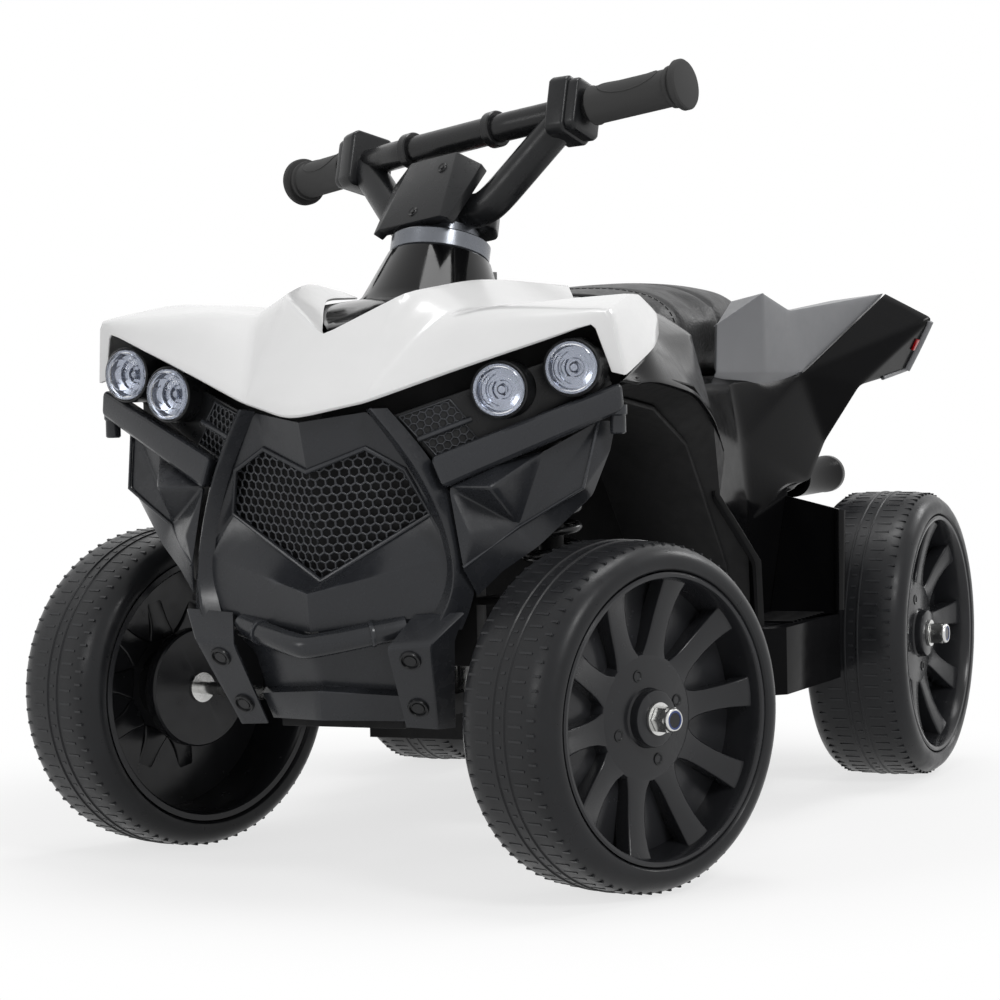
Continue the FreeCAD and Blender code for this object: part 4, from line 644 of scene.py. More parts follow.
class Scatter(Tree):
    """A Geometry Nodes tree that puts a small block or another shape round a ring or along a path."""

    def __init__(self, name: str) -> None:
        """Starts an empty tree with a geometry input and output.

        Args:
            name: the new name.
        """
        super().__init__(bpy.data.node_groups.new(name, "GeometryNodeTree"))
        self.tree.interface.new_socket("Geometry", in_out="INPUT", socket_type="NodeSocketGeometry")
        self.tree.interface.new_socket("Geometry", in_out="OUTPUT", socket_type="NodeSocketGeometry")
        self.inside = self.tree.nodes.new("NodeGroupInput")
        self.outside = self.tree.nodes.new("NodeGroupOutput")

    def socket(self, name: str, kind: str = "NodeSocketFloat") -> None:
        """Adds a named input."""
        self.tree.interface.new_socket(name, in_out="INPUT", socket_type=kind)

    def finish(self, geometry: Socket) -> None:
        """Ends the tree in realised instances with their material.

        Args:
            geometry: the last output of the tree.
        """
        real = self.add("GeometryNodeRealizeInstances", {"Geometry": geometry})
        painted = self.add("GeometryNodeSetMaterial", {"Geometry": real.outputs[0],
                                                      "Material": self.inside.outputs["Material"]})
        self.tree.links.new(painted.outputs[0], self.outside.inputs["Geometry"])

    def run(self, thing: Thing, values: dict) -> Thing:
        """Runs the tree on an object.

        Args:
            thing: the object that carries the modifier, whose mesh may be the tree's input.
            values: the tree's inputs by name.

        Returns:
            The result as a plain mesh.
        """
        modifier = thing.modifiers.new("scatter", "NODES")
        modifier.node_group = self.tree
        for item in self.tree.interface.items_tree:
            if item.in_out == "INPUT" and item.name in values:
                modifier[item.identifier] = values[item.name]
        thing.update_tag()
        return baked(thing)


class RingScatter(Scatter):
    """Small blocks round a circle about Z: tread bars, ribs and pegs."""

    def __init__(self) -> None:
        """Builds the tree."""
        super().__init__("ring_of_blocks")
        for name in ("Radius", "Height", "Phase", "Deep", "Wide", "Long"):
            self.socket(name)
        self.socket("Count", "NodeSocketInt")
        self.socket("Material", "NodeSocketMaterial")
        given = self.inside.outputs
        ring = self.add("GeometryNodeMeshCircle", {"Vertices": given["Count"], "Radius": given["Radius"]})
        lift = self.add("ShaderNodeCombineXYZ", {"Z": given["Height"]})
        raised = self.add("GeometryNodeSetPosition", {"Geometry": ring.outputs[0], "Offset": lift.outputs[0]})
        index = self.add("GeometryNodeInputIndex")
        step = self.add("ShaderNodeMath", {0: 2 * math.pi, 1: given["Count"]}, operation="DIVIDE")
        angle = self.add("ShaderNodeMath", {0: index.outputs[0], 1: step.outputs[0]}, operation="MULTIPLY")
        turn = self.add("ShaderNodeCombineXYZ", {"Z": angle.outputs[0]})
        sizes = self.add("ShaderNodeCombineXYZ", {"X": given["Deep"], "Y": given["Wide"], "Z": given["Long"]})
        block = self.add("GeometryNodeMeshCube", {"Size": sizes.outputs[0]})
        copies = self.add("GeometryNodeInstanceOnPoints",
                          {"Points": raised.outputs[0], "Instance": block.outputs[0],
                                                           "Rotation": turn.outputs[0]})
        spin = self.add("ShaderNodeCombineXYZ", {"Z": given["Phase"]})
        turned = self.add("GeometryNodeTransform",
                          {"Geometry": copies.outputs[0], "Rotation": spin.outputs[0]})
        self.finish(turned.outputs[0])


class StrandScatter(Scatter):
    """Thin strands along the edges of a lattice: honeycomb mesh."""

    def __init__(self) -> None:
        """Builds the tree."""
        super().__init__("lattice_strands")
        self.socket("Thickness")
        self.socket("Material", "NodeSocketMaterial")
        given = self.inside.outputs
        lines = self.add("GeometryNodeMeshToCurve", {"Mesh": given["Geometry"]})
        ring = self.add("GeometryNodeCurvePrimitiveCircle", {"Resolution": 6, "Radius": given["Thickness"]})
        strands = self.add("GeometryNodeCurveToMesh",
                           {"Curve": lines.outputs[0], "Profile Curve": ring.outputs[0],
                                                       "Fill Caps": True})
        self.finish(strands.outputs[0])


class StitchScatter(Scatter):
    """Short stitches along a seam line."""

    def __init__(self) -> None:
        """Builds the tree."""
        super().__init__("seam_stitches")
        for name in ("Spacing", "Long", "Thick"):
            self.socket(name)
        self.socket("Material", "NodeSocketMaterial")
        given = self.inside.outputs
        lines = self.add("GeometryNodeMeshToCurve", {"Mesh": given["Geometry"]})
        spots = self.add("GeometryNodeCurveToPoints", {"Curve": lines.outputs[0], "Length": given["Spacing"]},
                         mode="LENGTH")
        sizes = self.add("ShaderNodeCombineXYZ",
                         {"X": given["Thick"], "Y": given["Thick"], "Z": given["Long"]})
        thread = self.add("GeometryNodeMeshCube", {"Size": sizes.outputs[0]})
        copies = self.add("GeometryNodeInstanceOnPoints", {"Points": spots.outputs["Points"],
                                                           "Instance": thread.outputs[0],
                                                           "Rotation": spots.outputs["Rotation"]})
        self.finish(copies.outputs[0])


class Bench:
    """The trees that several sub-assemblies share, and the last steps for each piece."""

    def __init__(self, frame: dict) -> None:
        """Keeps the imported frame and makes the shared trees.

        Args:
            frame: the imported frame.
        """
        self.nodes = frame["nodes"]
        self.ring = RingScatter()
        self.strand = StrandScatter()
        self.stitch = StitchScatter()

    def blocks(self, name: str, finish: Finish, count: int, **sizes: float) -> Thing:
        """A ring of blocks about Z, with sizes in millimetres and its phase in radians.

        Args:
            name: the new name.
            finish: the surface.
            count: blocks in the ring.
            sizes: sizes in millimetres, phase in radians.

        Returns:
            The piece.
        """
        host = new_object(name, bpy.data.meshes.new(name))
        values = {key.title(): value * MM for key, value in sizes.items() if key != "phase"}
        values.update(Count=count, Material=finish.material(), Phase=sizes.get("phase", 0.0))
        return self.ring.run(host, values)

    def lattice(self, name: str, finish: Finish, edges: list[tuple[Vector, Vector]],
                thickness: float) -> Thing:
        """Strands along edges that are given in millimetres.

        Args:
            name: the new name.
            finish: the surface.
            edges: pairs of points in millimetres.
            thickness: millimetres.

        Returns:
            The piece.
        """
        points = [p for edge in edges for p in edge]
        host = wire(name, points, [(2 * i, 2 * i + 1) for i in range(len(edges))])
        edit(host, lambda bm: bmesh.ops.remove_doubles(bm, verts=bm.verts, dist=SAME_STRAND_POINT))
        return self.strand.run(host, {"Thickness": thickness * MM, "Material": finish.material()})

    def stitches(self, name: str, finish: Finish, line: list[Vector], **sizes: float) -> Thing:
        """Stitches along a line, with their spacing, length and thickness in millimetres."""
        host = wire(name, line, [(i, i + 1) for i in range(len(line) - 1)])
        values = {key.title(): value * MM for key, value in sizes.items()}
        return self.stitch.run(host, {**values, "Material": finish.material()})

    def softened(self, node: str, width: float, name: str) -> Thing:
        """A copy of a CAD node's mesh, merged and with its edges rounded.

        Args:
            node: the CAD node.
            width: the round in millimetres.
            name: the new name.

        Returns:
            The piece.
        """
        copy = new_object(name, self.nodes[node].data.copy())
        copy.data.materials.clear()
        edit(copy, merge_flats)
        return bevelled(copy, width)

    def hand_in(self, thing: Thing, body: str, finish: Finish | ClearLens, *nodes: str) -> Thing:
        """Paints a finished piece, seats it on its body and reports it.

        Args:
            thing: the piece.
            body: the CAD body that it moves with.
            finish: its surface.
            nodes: the CAD nodes that it stands for.

        Returns:
            The piece.
        """
        coated(thing, finish)
        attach(thing, body)
        if nodes:
            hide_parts(*nodes)
        LOG.info("%s on %s, %d faces", thing.name, body, len(thing.data.polygons))
        return thing

    def paint(self, node: str, finish: Finish | ClearLens) -> None:
        """Gives a CAD node that stays its finish."""
        coated(self.nodes[node], finish)
        LOG.info("%s painted %s", node, finish.name)


def merge_flats(bm: BMesh) -> None:
    """Merges loose triangles and joins the flat ones."""
    bmesh.ops.remove_doubles(bm, verts=bm.verts, dist=SAME_CAD_POINT)
    bmesh.ops.dissolve_limit(bm, angle_limit=math.radians(FLAT_ANGLE), verts=bm.verts, edges=bm.edges)


@dataclass
class Shell:
    """A moulded panel from a cage of named corners, rounded by subdivision and given its wall.

    A face or a crease names its corners in one string.
    """

    name: str
    corners: dict[str, Vector]
    faces: list[str]
    inside: Vector
    mirror: bool = False
    hold: int = 1
    soften: int = 2
    wall: float = 2.4
    edge_round: float = 0.6
    creases: dict[str, float] = field(default_factory=dict)

    def cage(self) -> Thing:
        """The cage as an object, with the other side added where the panel spans both.

        Returns:
            The piece.
        """
        names = list(self.corners)
        points = [Vector(self.corners[n]) for n in names]
        faces = [[names.index(n) for n in face.split()] for face in self.faces]
        if self.mirror:
            count = len(points)
            points += [on_side(p, Side.RIGHT) for p in points]
            faces += [[i + count for i in reversed(face)] for face in faces]
        thing = mesh_of(self.name, points, [tuple(f) for f in faces])
        edit(thing, self.turn_out)
        edit(thing, self.mark)
        return thing

    def turn_out(self, bm: BMesh) -> None:
        """Turns the whole cage so that it faces away from the inside.

        Args:
            bm: the open mesh.
        """
        heart = self.inside * MM
        facing = sum((f.calc_center_median() - heart).dot(f.normal) * f.calc_area() for f in bm.faces)
        if facing < 0:
            bmesh.ops.reverse_faces(bm, faces=bm.faces)

    def mark(self, bm: BMesh) -> None:
        """Marks the edges that stay crisp, on both sides.

        Args:
            bm: the open mesh.
        """
        layer = bm.edges.layers.float.new("crease_edge")
        for pair, amount in self.creases.items():
            for side in Side:
                ends = [on_side(self.corners[name], side) * MM for name in pair.split()]
                for edge in bm.edges:
                    spots = [v.co for v in edge.verts]
                    if all(min((s - e).length for s in spots) < SAME_CORNER for e in ends):
                        edge[layer] = amount

    def build(self) -> Thing:
        """The finished panel as a plain mesh.

        Returns:
            The piece.
        """
        thing = self.cage()
        for kind, levels in (("SIMPLE", self.hold), ("CATMULL_CLARK", self.soften)):
            if levels:
                division = thing.modifiers.new(kind.lower(), "SUBSURF")
                division.subdivision_type = kind
                division.levels = levels
                division.render_levels = levels
                division.boundary_smooth = "PRESERVE_CORNERS"
        wall = thing.modifiers.new("wall", "SOLIDIFY")
        wall.thickness = self.wall * MM
        wall.offset = -1.0
        wall.use_even_offset = True
        wall.thickness_clamp = 1.0
        thing = baked(thing)
        if self.edge_round:
            return bevelled(thing, self.edge_round, 2, SHELL_ROUND_ANGLE)
        return shade(thing, SHARP_SHELL)


@dataclass
class Wheel:
    """One wheel: a tyre with its tread bars, a ten-spoke rim and the lock ring of its nut."""

    name: str
    body: str
    centre: Vector
    axle: Vector
    tread_bars: int = 76
    bar_height: float = 1.2
    bar_width: float = 1.3
    spokes: int = 10
    spoke_phase: float = 78.0
    spoke_depth: float = 12.0
    spoke_taper: float = 0.9
    spoke_round: float = 1.5
    screw_circle: float = 24.5
    screw_count: int = 4
    screw_phase: float = 18.0
    turned_steps: int = 120
    half_tyre: Profile = table([
        (96.0, 0.0), (96.0, 3.4), (96.7, 3.9), (96.7, 4.7), (96.0, 5.2), (95.9, 14.0), (95.7, 20.0),
        (95.0, 24.5), (93.4, 28.6), (91.0, 31.8), (88.6, 33.6), (86.4, 34.4), (83.5, 34.5), (82.0, 34.2),
        (81.0, 33.3), (80.4, 31.8)])
    tread_rows: list[Point] = table([
        (23.0, 6.5, 94.95), (12.6, 9.5, 95.58), (0.0, 3.0, 95.66)])
    barrel: Profile = table([
        (79.9, -33.0), (79.9, 33.2), (78.8, 33.9), (77.2, 33.6), (76.4, 32.2), (75.6, 27.0), (74.6, 20.0),
        (74.0, -20.0), (75.0, -31.0), (76.5, -33.0)])
    hub: Profile = table([
        (4.1, 26.0), (14.2, 26.0), (15.3, 25.4), (15.8, 24.2), (15.8, 20.4), (16.6, 19.3), (18.0, 19.0),
        (32.0, 18.8), (34.6, 18.0), (35.8, 16.2), (36.0, 10.0), (24.0, 9.0), (24.0, -12.0), (35.4, -12.6),
        (36.0, -14.0), (36.0, -20.4), (35.0, -21.8), (10.0, -22.0), (4.1, -22.0)])
    spoke_sections: list[tuple[float, float, float]] = table([
        (29.0, 10.5, 18.2), (33.0, 9.8, 18.2), (36.0, 8.6, 18.2), (40.0, 7.5, 18.4), (46.0, 6.9, 19.0),
        (55.0, 6.8, 20.4), (64.0, 7.2, 22.6), (71.0, 8.0, 25.0), (77.0, 9.2, 27.6)])
    web: Profile = table([(24.0, 8.0), (74.6, 8.0), (74.6, 10.0), (24.0, 10.0)])
    lock_collar: Profile = table([
        (4.3, 36.3), (6.6, 36.3), (6.7, 37.3), (6.3, 38.6), (5.7, 39.2), (5.2, 39.0), (5.2, 38.4),
        (4.3, 38.4)])
    lock_insert: Profile = table([
        (4.2, 38.2), (5.25, 38.2), (5.2, 38.9), (4.7, 39.1), (4.2, 38.9)])
    axle_end: Profile = table([(0.0, 38.2), (4.15, 38.2), (4.15, 38.75), (0.0, 38.75)])

    def frame(self) -> Matrix:
        """The wheel's own axes: Z out along the axle and Y up."""
        up = Vector((0, 0, 1))
        across = up.cross(self.axle)
        return placement(self.centre, Matrix((across, up, self.axle)).transposed())

    def tyre(self, bench: Bench) -> Thing:
        """The tyre with its rows of tread bars.

        Args:
            bench: the shared workbench.

        Returns:
            The piece.
        """
        back = [(r, -z) for r, z in reversed(self.half_tyre[1:])]
        parts = [lathe(self.name + "_casing", back + self.half_tyre, self.turned_steps)]
        step = 2 * math.pi / self.tread_bars
        for row, (offset, length, radius) in enumerate(self.tread_rows):
            for sign in (1, -1) if offset else (1,):
                phase = step * (0.5 * (row % 2) + (0.25 if sign < 0 else 0.0))
                parts.append(bench.blocks(f"{self.name}_row", TYRE, self.tread_bars, radius=radius,
                                          height=sign * offset, deep=self.bar_height, wide=self.bar_width,
                                          long=length, phase=phase))
        whole = joined(self.name + "_tyre_dress", parts)
        return shade(moved(whole, self.frame()), 30.0)

    def spoke(self, number: int) -> Thing:
        """One spoke, wide at the hub and dished towards the rim.

        Args:
            number: which spoke, from 0.

        Returns:
            The piece.
        """
        angle = math.radians(self.spoke_phase + 360.0 * number / self.spokes)
        out = Vector((math.cos(angle), math.sin(angle), 0))
        side = Vector((-math.sin(angle), math.cos(angle), 0))
        points, faces = [], []
        for radius, half, front in self.spoke_sections:
            back, deep = half * self.spoke_taper, self.spoke_depth
            for reach, drop in ((-half, 0), (half, 0), (back, deep), (-back, deep)):
                points.append(out * radius + side * reach + Vector((0, 0, front - drop)))
        for i in range(len(self.spoke_sections) - 1):
            faces += band(4 * i, 4 * (i + 1), 4)
        last = 4 * (len(self.spoke_sections) - 1)
        faces += [(0, 1, 2, 3), (last, last + 1, last + 2, last + 3)]
        return bevelled(mesh_of(f"{self.name}_spoke", points, faces), self.spoke_round, 3, 40.0)

    def rim(self) -> Thing:
        """Barrel, hub, the web that closes the pockets, and spokes.

        Returns:
            The piece.
        """
        profiles = (self.barrel, self.hub, self.web)
        parts = [lathe(f"{self.name}_turned", profile, self.turned_steps) for profile in profiles]
        parts += [self.spoke(i) for i in range(self.spokes)]
        return shade(moved(joined(self.name + "_rim_dress", parts), self.frame()), 35.0)

    def screws(self) -> Thing:
        """Recessed hub screws, each a ring with a sunk head.

        Returns:
            The piece.
        """
        profile = [(0.0, 17.4), (1.9, 17.4), (2.1, 19.0), (2.6, 19.5), (3.3, 19.5), (3.6, 18.4), (0.0, 16.8)]
        parts = []
        for i in range(self.screw_count):
            angle = math.radians(self.screw_phase + 360.0 * i / self.screw_count)
            spot = Vector((math.cos(angle), math.sin(angle), 0)) * self.screw_circle
            parts.append(shifted(lathe(f"{self.name}_screw", profile, 24), spot))
        return moved(joined(self.name + "_hub_screws", parts), self.frame())

    def dress(self, bench: Bench) -> None:
        """Hands in every piece of the wheel.

        Args:
            bench: the shared workbench.
        """
        bench.hand_in(self.tyre(bench), self.body, TYRE, self.name + "_tyre")
        bench.hand_in(self.rim(), self.body, RIM, self.name + "_rim")
        bench.hand_in(self.screws(), self.body, SATIN)
        carrier = {"front_left": "left_steer", "front_right": "right_steer"}.get(self.name, "frame")
        rings = {"lock_collar": (self.lock_collar, STEEL), "lock_insert": (self.lock_insert, INSERT),
                 "axle_end": (self.axle_end, BAR)}
        for part, (profile, finish) in rings.items():
            ring = moved(lathe(f"{self.name}_{part}", profile, 40), self.frame())
            bench.hand_in(ring, carrier, finish)


def wheels() -> list[Wheel]:
    """The four wheels, the front pair turned to the right.

    Returns:
        The wheels.
    """
    ahead = Vector((0.382683, 0.92388, 0.0))
    level = Vector((0.0, 1.0, 0.0))
    return [
        Wheel("front_left", "front_left_wheel", Vector((255.222, 162.866, 97.0)), ahead),
        Wheel("front_right", "front_right_wheel", Vector((163.378, -162.866, 97.0)), -ahead),
        Wheel("rear_left", "rear_left_wheel", Vector((-245.7, 168.0, 97.0)), level),
        Wheel("rear_right", "rear_right_wheel", Vector((-245.7, -168.0, 97.0)), -level)]


@dataclass
class Handlebar:
    """The bar, its arms and clamps, the grips, the faceted console and the collar, in the steering frame."""

    collar: Vector = table(Vector((120.2, 0.0, 360.9)))
    rake: float = 19.1
    turn: float = 22.5
    bar_radius: float = 8.6
    bend: Vector = table(Vector((0.0, 43.3, 67.2)))
    end: Vector = table(Vector((-24.2, 166.6, 78.4)))
    arm_radius: float = 10.4
    clamp_y: float = 90.0
    clamp_half_depth: float = 15.5
    clamp_half_height: float = 18.0
    clamp_corner: float = 3.6
    grip_length: float = 63.0
    grip_radius: float = 11.2
    oval_half: Point = (0.75, 20.0, 0.45)
    oval_place: float = 0.56
    oval_steps: int = 32
    straight: float = 30.0
    bar_tip: float = 162.0
    ring_y: float = 36.0
    clamp_slant: float = 11.0
    console_lean: float = 16.6
    console_foot: Vector = table(Vector((27.8, 0.0, 5.1)))
    console_face: list[Point] = table([(19.7, 48.3, 0.0), (26.5, 0.0, 0.0)])
    console_flap: list[Point] = table([(37.9, 40.4, -7.3), (32.0, -1.4, -1.5)])
    console_wall: float = 7.0
    collar_profile: Profile = table([
        (6.5, -9.5), (29.2, -9.5), (30.0, -8.7), (30.0, 0.5), (29.2, 1.4), (24.0, 2.0), (22.5, 3.0),
        (22.3, 8.5), (19.0, 9.5), (17.6, 11.0), (17.5, 19.0), (6.5, 19.0)])

    def frame(self, turned: bool = True) -> Matrix:
        """The steering frame, or the same without the turn."""
        spin = turn_about("Z", -self.turn if turned else 0.0)
        return placement(self.collar, turn_about("Y", -self.rake) @ spin)

    def along(self, side: Side, y: float) -> Vector:
        """The bar's centre at a distance from the middle of the bike."""
        share = (y - self.bend.y) / (self.end.y - self.bend.y)
        return on_side(self.bend.lerp(self.end, share), side)

    def bar(self) -> Thing:
        """The bent tube with the two rings beside its straight middle.

        Returns:
            The piece.
        """
        half = [self.bend, self.bend.lerp(self.end, 0.12), self.along(Side.LEFT, self.bar_tip)]
        inner = [Vector((0, self.straight, self.bend.z)), *half]
        path = [on_side(p, Side.RIGHT) for p in reversed(inner)] + inner
        parts = [tube("bar_tube", path, self.bar_radius)]
        ring = [(8.2, -3.4), (10.4, -3.4), (11.0, -2.6), (11.0, 2.6), (10.4, 3.4), (8.2, 3.4)]
        for side in Side:
            spot = Vector((0, side.value * self.ring_y, self.bend.z))
            parts.append(moved(lathe("bar_ring", ring, 48), placement(spot, turn_about("X", 90))))
        return moved(joined("handlebar_dress", parts), self.frame())

    def clamp(self, side: Side) -> Thing:
        """One block with cut corners and its thinner outer plate.

        Args:
            side: the side of the bike.

        Returns:
            The piece.
        """
        parts = []
        for scale, width, shift in ((1.0, 13.0, -8.5), (0.9, 8.0, 3.5)):
            x, z, c = self.clamp_half_depth * scale, self.clamp_half_height * scale, self.clamp_corner * scale
            upper = [(x, z - c), (x - c, z), (c - x, z), (-x, z - c)]
            corners = upper + [(-a, -b) for a, b in upper]
            block = bevelled(prism("clamp_block", corners, width), 1.8, 3)
            turn = turn_about("Z", self.clamp_slant * side.value) @ turn_about("X", -90)
            block = shifted(block, (0, 0, shift if side is Side.LEFT else -shift - width))
            parts.append(moved(block, placement(self.along(side, self.clamp_y), turn)))
        return joined("clamp", parts)

    def yoke(self) -> Thing:
        """Root block, arms and clamps.

        Returns:
            The piece.
        """
        root = [(14, 14), (4, 27), (-18, 27), (-32, 15), (-32, -15), (-18, -27), (4, -27), (14, -14)]
        block = bevelled(prism("yoke_root", root, 15.0), 2.6, 3)
        parts = [shifted(block, (0, 0, 10.5))]
        arm = [Vector(p) for p in ((0, 4, 19), (0, 18, 18), (-1, 31, 17), (-2, 41, 22))]
        for side in Side:
            grip_point = self.along(side, self.clamp_y)
            path = [on_side(p, side) for p in arm]
            path += [path[-1].lerp(grip_point, 0.3), grip_point]
            parts.append(tube("yoke_arm", path, self.arm_radius))
            parts.append(self.clamp(side))
        return moved(joined("yoke_dress", parts), self.frame())

    def collar_ring(self) -> Thing:
        """The bright stepped collar under the root block."""
        return moved(lathe("yoke_collar_dress", self.collar_profile, 80), self.frame())

    def grip(self, side: Side) -> Thing:
        """A smooth sleeve with two rings, a wide end cap and a raised oval line on its front.

        Args:
            side: the side of the bike.

        Returns:
            The piece.
        """
        length, radius = self.grip_length, self.grip_radius
        profile = [
            (9.1, -length), (radius + 0.5, -length), (radius + 0.6, -length + 2.0), (radius, -length + 3.0),
            (radius, -10.4), (radius + 1.2, -9.8), (radius + 1.4, -8.6), (radius + 1.2, -7.6),
            (radius + 0.5, -7.0), (radius + 0.6, -5.4), (14.4, -4.8), (15.0, -4.0), (15.0, -1.2),
            (14.2, -0.3), (12.5, 0.0), (0.0, 0.2), (0.0, -3.0), (9.1, -5.0)]
        sweep, reach, thick = self.oval_half
        middle = math.radians(90 + 50 * side.value)
        oval = []
        for step in range(self.oval_steps + 1):
            turn = 2 * math.pi * step / self.oval_steps
            angle = middle + sweep * math.sin(turn)
            height = reach * math.cos(turn) - length * self.oval_place
            oval.append(Vector((radius * math.cos(angle), radius * math.sin(angle), height)))
        parts = [lathe("grip_sleeve", profile, 72), tube("grip_oval", oval, thick, sides=2)]
        whole = joined(f"{side.name.lower()}_grip_dress", parts)
        run = on_side(self.end - self.bend, side).normalized()
        return moved(whole, self.frame() @ placement(on_side(self.end, side), turn_to(run)))

    def console_frame(self) -> Matrix:
        """Local X to the left, Y up the plate, Z ahead."""
        upright = Matrix(((0, 0, 1), (1, 0, 0), (0, 1, 0)))
        return self.frame() @ placement(self.console_foot, turn_about("Y", -self.console_lean) @ upright)

    def console(self) -> Thing:
        """The folded cover: a flat face between two flaps, with the box that carries it on the bar.

        Returns:
            The piece.
        """
        (top, low), (flap_top, flap_low) = self.console_face, self.console_flap
        right = [Vector(p) for p in (top, flap_top, flap_low, low)]
        loop = right + [Vector((-p.x, p.y, p.z)) for p in reversed(right)]
        count = len(loop)
        points = loop + [Vector((p.x * 0.95, p.y, p.z - self.console_wall)) for p in loop]
        faces: Faces = [(0, 3, 4, 7), (0, 1, 2, 3), (4, 5, 6, 7), tuple(range(count, 2 * count))]
        faces += band(0, count, count)
        plate = bevelled(mesh_of("console_plate", points, faces), 0.7, 2, 8.0)
        box = [(20, 6), (24, 44), (-24, 44), (-20, 6)]
        carrier = shifted(bevelled(prism("console_carrier", box, 12.0), 1.5), (0, 0, -20.0))
        return moved(joined("console_dress", [plate, carrier]), self.console_frame())

    def console_screws(self) -> Thing:
        """Three pan heads in sunk rings.

        Returns:
            The piece.
        """
        head = [(0.0, 0.9), (1.2, 0.9), (1.4, 0.3), (2.2, 0.5), (3.0, 0.9), (3.4, 0.4), (3.6, -0.6),
                (0.0, -0.6)]
        spots = ((12.0, 38.0, 0.0), (0.0, 8.0, 0.0), (-28.0, 33.0, -3.4))
        parts = [shifted(lathe("console_head", head, 28), spot) for spot in spots]
        return moved(joined("console_screw_dress", parts), self.console_frame())

    def shroud(self) -> Thing:
        """The gloss tower under the collar, flared at its foot."""
        profile = [(8.0, -10.0), (30.5, -10.0), (31.5, -11.0), (44.0, -42.0), (51.6, -50.4), (51.0, -51.2),
                   (8.0, -51.2)]
        return moved(lathe("column_shroud_dress", profile, 96), self.frame(turned=False))

    def dress(self, bench: Bench) -> None:
        """Hands in every piece of the handlebar.

        Args:
            bench: the shared workbench.
        """
        bench.hand_in(self.bar(), "steering", BAR, "handlebar_tube")
        bench.hand_in(self.yoke(), "steering", SATIN, "handlebar_yoke")
        bench.hand_in(self.collar_ring(), "steering", COLLAR)
        for side in Side:
            bench.hand_in(self.grip(side), "steering", RUBBER, f"{side.name.lower()}_grip")
        bench.hand_in(self.console(), "steering", SATIN, "console_cover")
        bench.hand_in(self.console_screws(), "steering", BAR, "console_screws")
        bench.hand_in(self.shroud(), "frame", GLOSS, "column_shroud")


@dataclass
class Cowl:
    """The white hood and the black dash between its wings."""

    inside: Vector = table(Vector((150.0, 0.0, 200.0)))

    def hood(self) -> Thing:
        """The V-nosed hood with its raised middle and swept wings.

        Returns:
            The piece.
        """
        corners = from_front(
            tip=(120.8, 0, 144), brow=(102.4, 35, 152), edge=(79.4, 85, 170), lamp_corner=(48, 151, 192.4),
            strip_in=(40, 158, 165), strip_out=(37, 165.5, 163), notch=(75, 0, 189), crest=(54, 88, 203),
            shoulder=(44, 160, 200), well_1=(24, 24, 203), well_2=(-20, 43, 210), well_3=(-110, 66, 211),
            ridge_1=(46, 38, 212), ridge_2=(-20, 55, 220), ridge_3=(-106, 75, 215), valley_1=(42, 58, 201),
            valley_2=(-11, 84, 201), valley_3=(-70, 94, 204), wing_top=(-8, 106, 206),
            wing_out=(-20, 147, 209), side_low=(-18, 162.5, 178), rear_top=(-62, 116, 207),
            rear_out=(-52, 140, 208), rear_side=(-80, 141, 197), rear_low=(-84, 140, 185))
        faces = ["tip brow ridge_1 notch", "brow valley_1 ridge_1", "brow edge crest valley_1",
                 "edge lamp_corner shoulder crest", "lamp_corner strip_in strip_out shoulder",
                 "notch ridge_1 well_1", "well_1 ridge_1 ridge_2 well_2", "well_2 ridge_2 ridge_3 well_3",
                 "ridge_1 valley_1 valley_2 ridge_2", "ridge_2 valley_2 valley_3 ridge_3",
                 "valley_1 crest wing_top valley_2", "crest shoulder wing_out wing_top",
                 "shoulder strip_out side_low wing_out", "valley_2 wing_top rear_top valley_3",
                 "wing_top wing_out rear_out rear_top", "wing_out side_low rear_side rear_out",
                 "side_low rear_low rear_side"]
        creases = {"brow ridge_1": 0.9, "notch ridge_1": 0.8, "ridge_1 ridge_2": 0.6, "ridge_2 ridge_3": 0.6,
                   "brow valley_1": 0.8, "valley_1 valley_2": 0.7, "valley_2 valley_3": 0.7,
                   "lamp_corner shoulder": 0.45, "shoulder strip_out": 0.4, "shoulder wing_out": 0.5,
                   "wing_out rear_out": 0.5}
        return Shell("front_hood_dress", corners, faces, self.inside, mirror=True, hold=1, soften=2,
                     edge_round=0.8, creases=creases).build()

    def dash(self) -> Thing:
        """The gloss cover from the notch back to the seat.

        Returns:
            The piece.
        """
        corners = from_front(
            nose=(70, 0, 192), side=(-10, 46, 206), waist=(-122, 67, 209.5), rear=(-250, 66, 202),
            crown=(-29, 0, 213), top=(-122, 0, 213), rear_top=(-250, 0, 206.5), waist_low=(-112, 86, 188),
            rear_low=(-251, 83, 156), rear_foot=(-251, 0, 156))
        faces = ["nose side crown", "crown side waist top", "top waist rear rear_top",
                 "waist waist_low rear_low rear", "rear rear_low rear_foot rear_top"]
        creases = {"nose side": 0.9, "nose crown": 0.6, "waist rear": 0.8, "rear rear_top": 0.8}
        return Shell("dash_cover_dress", corners, faces, self.inside, mirror=True, hold=1, soften=2,
                     creases=creases).build()

    def dress(self, bench: Bench) -> None:
        """Hands in the hood and the dash."""
        bench.hand_in(self.hood(), "frame", WHITE, "front_hood")
        bench.hand_in(self.dash(), "frame", GLOSS, "dash_cover")


def inside_polygon(point: tuple[float, float], ring: list[tuple[float, float]]) -> bool:
    """Whether a flat point lies in a closed outline.

    Args:
        point: the flat point.
        ring: the outline's corners.

    Returns:
        True inside.
    """
    x, y = point
    hit = False
    for (ax, ay), (bx, by) in zip(ring, ring[1:] + ring[:1]):
        if (ay > y) != (by > y) and x < ax + (bx - ax) * (y - ay) / (by - ay):
            hit = not hit
    return hit


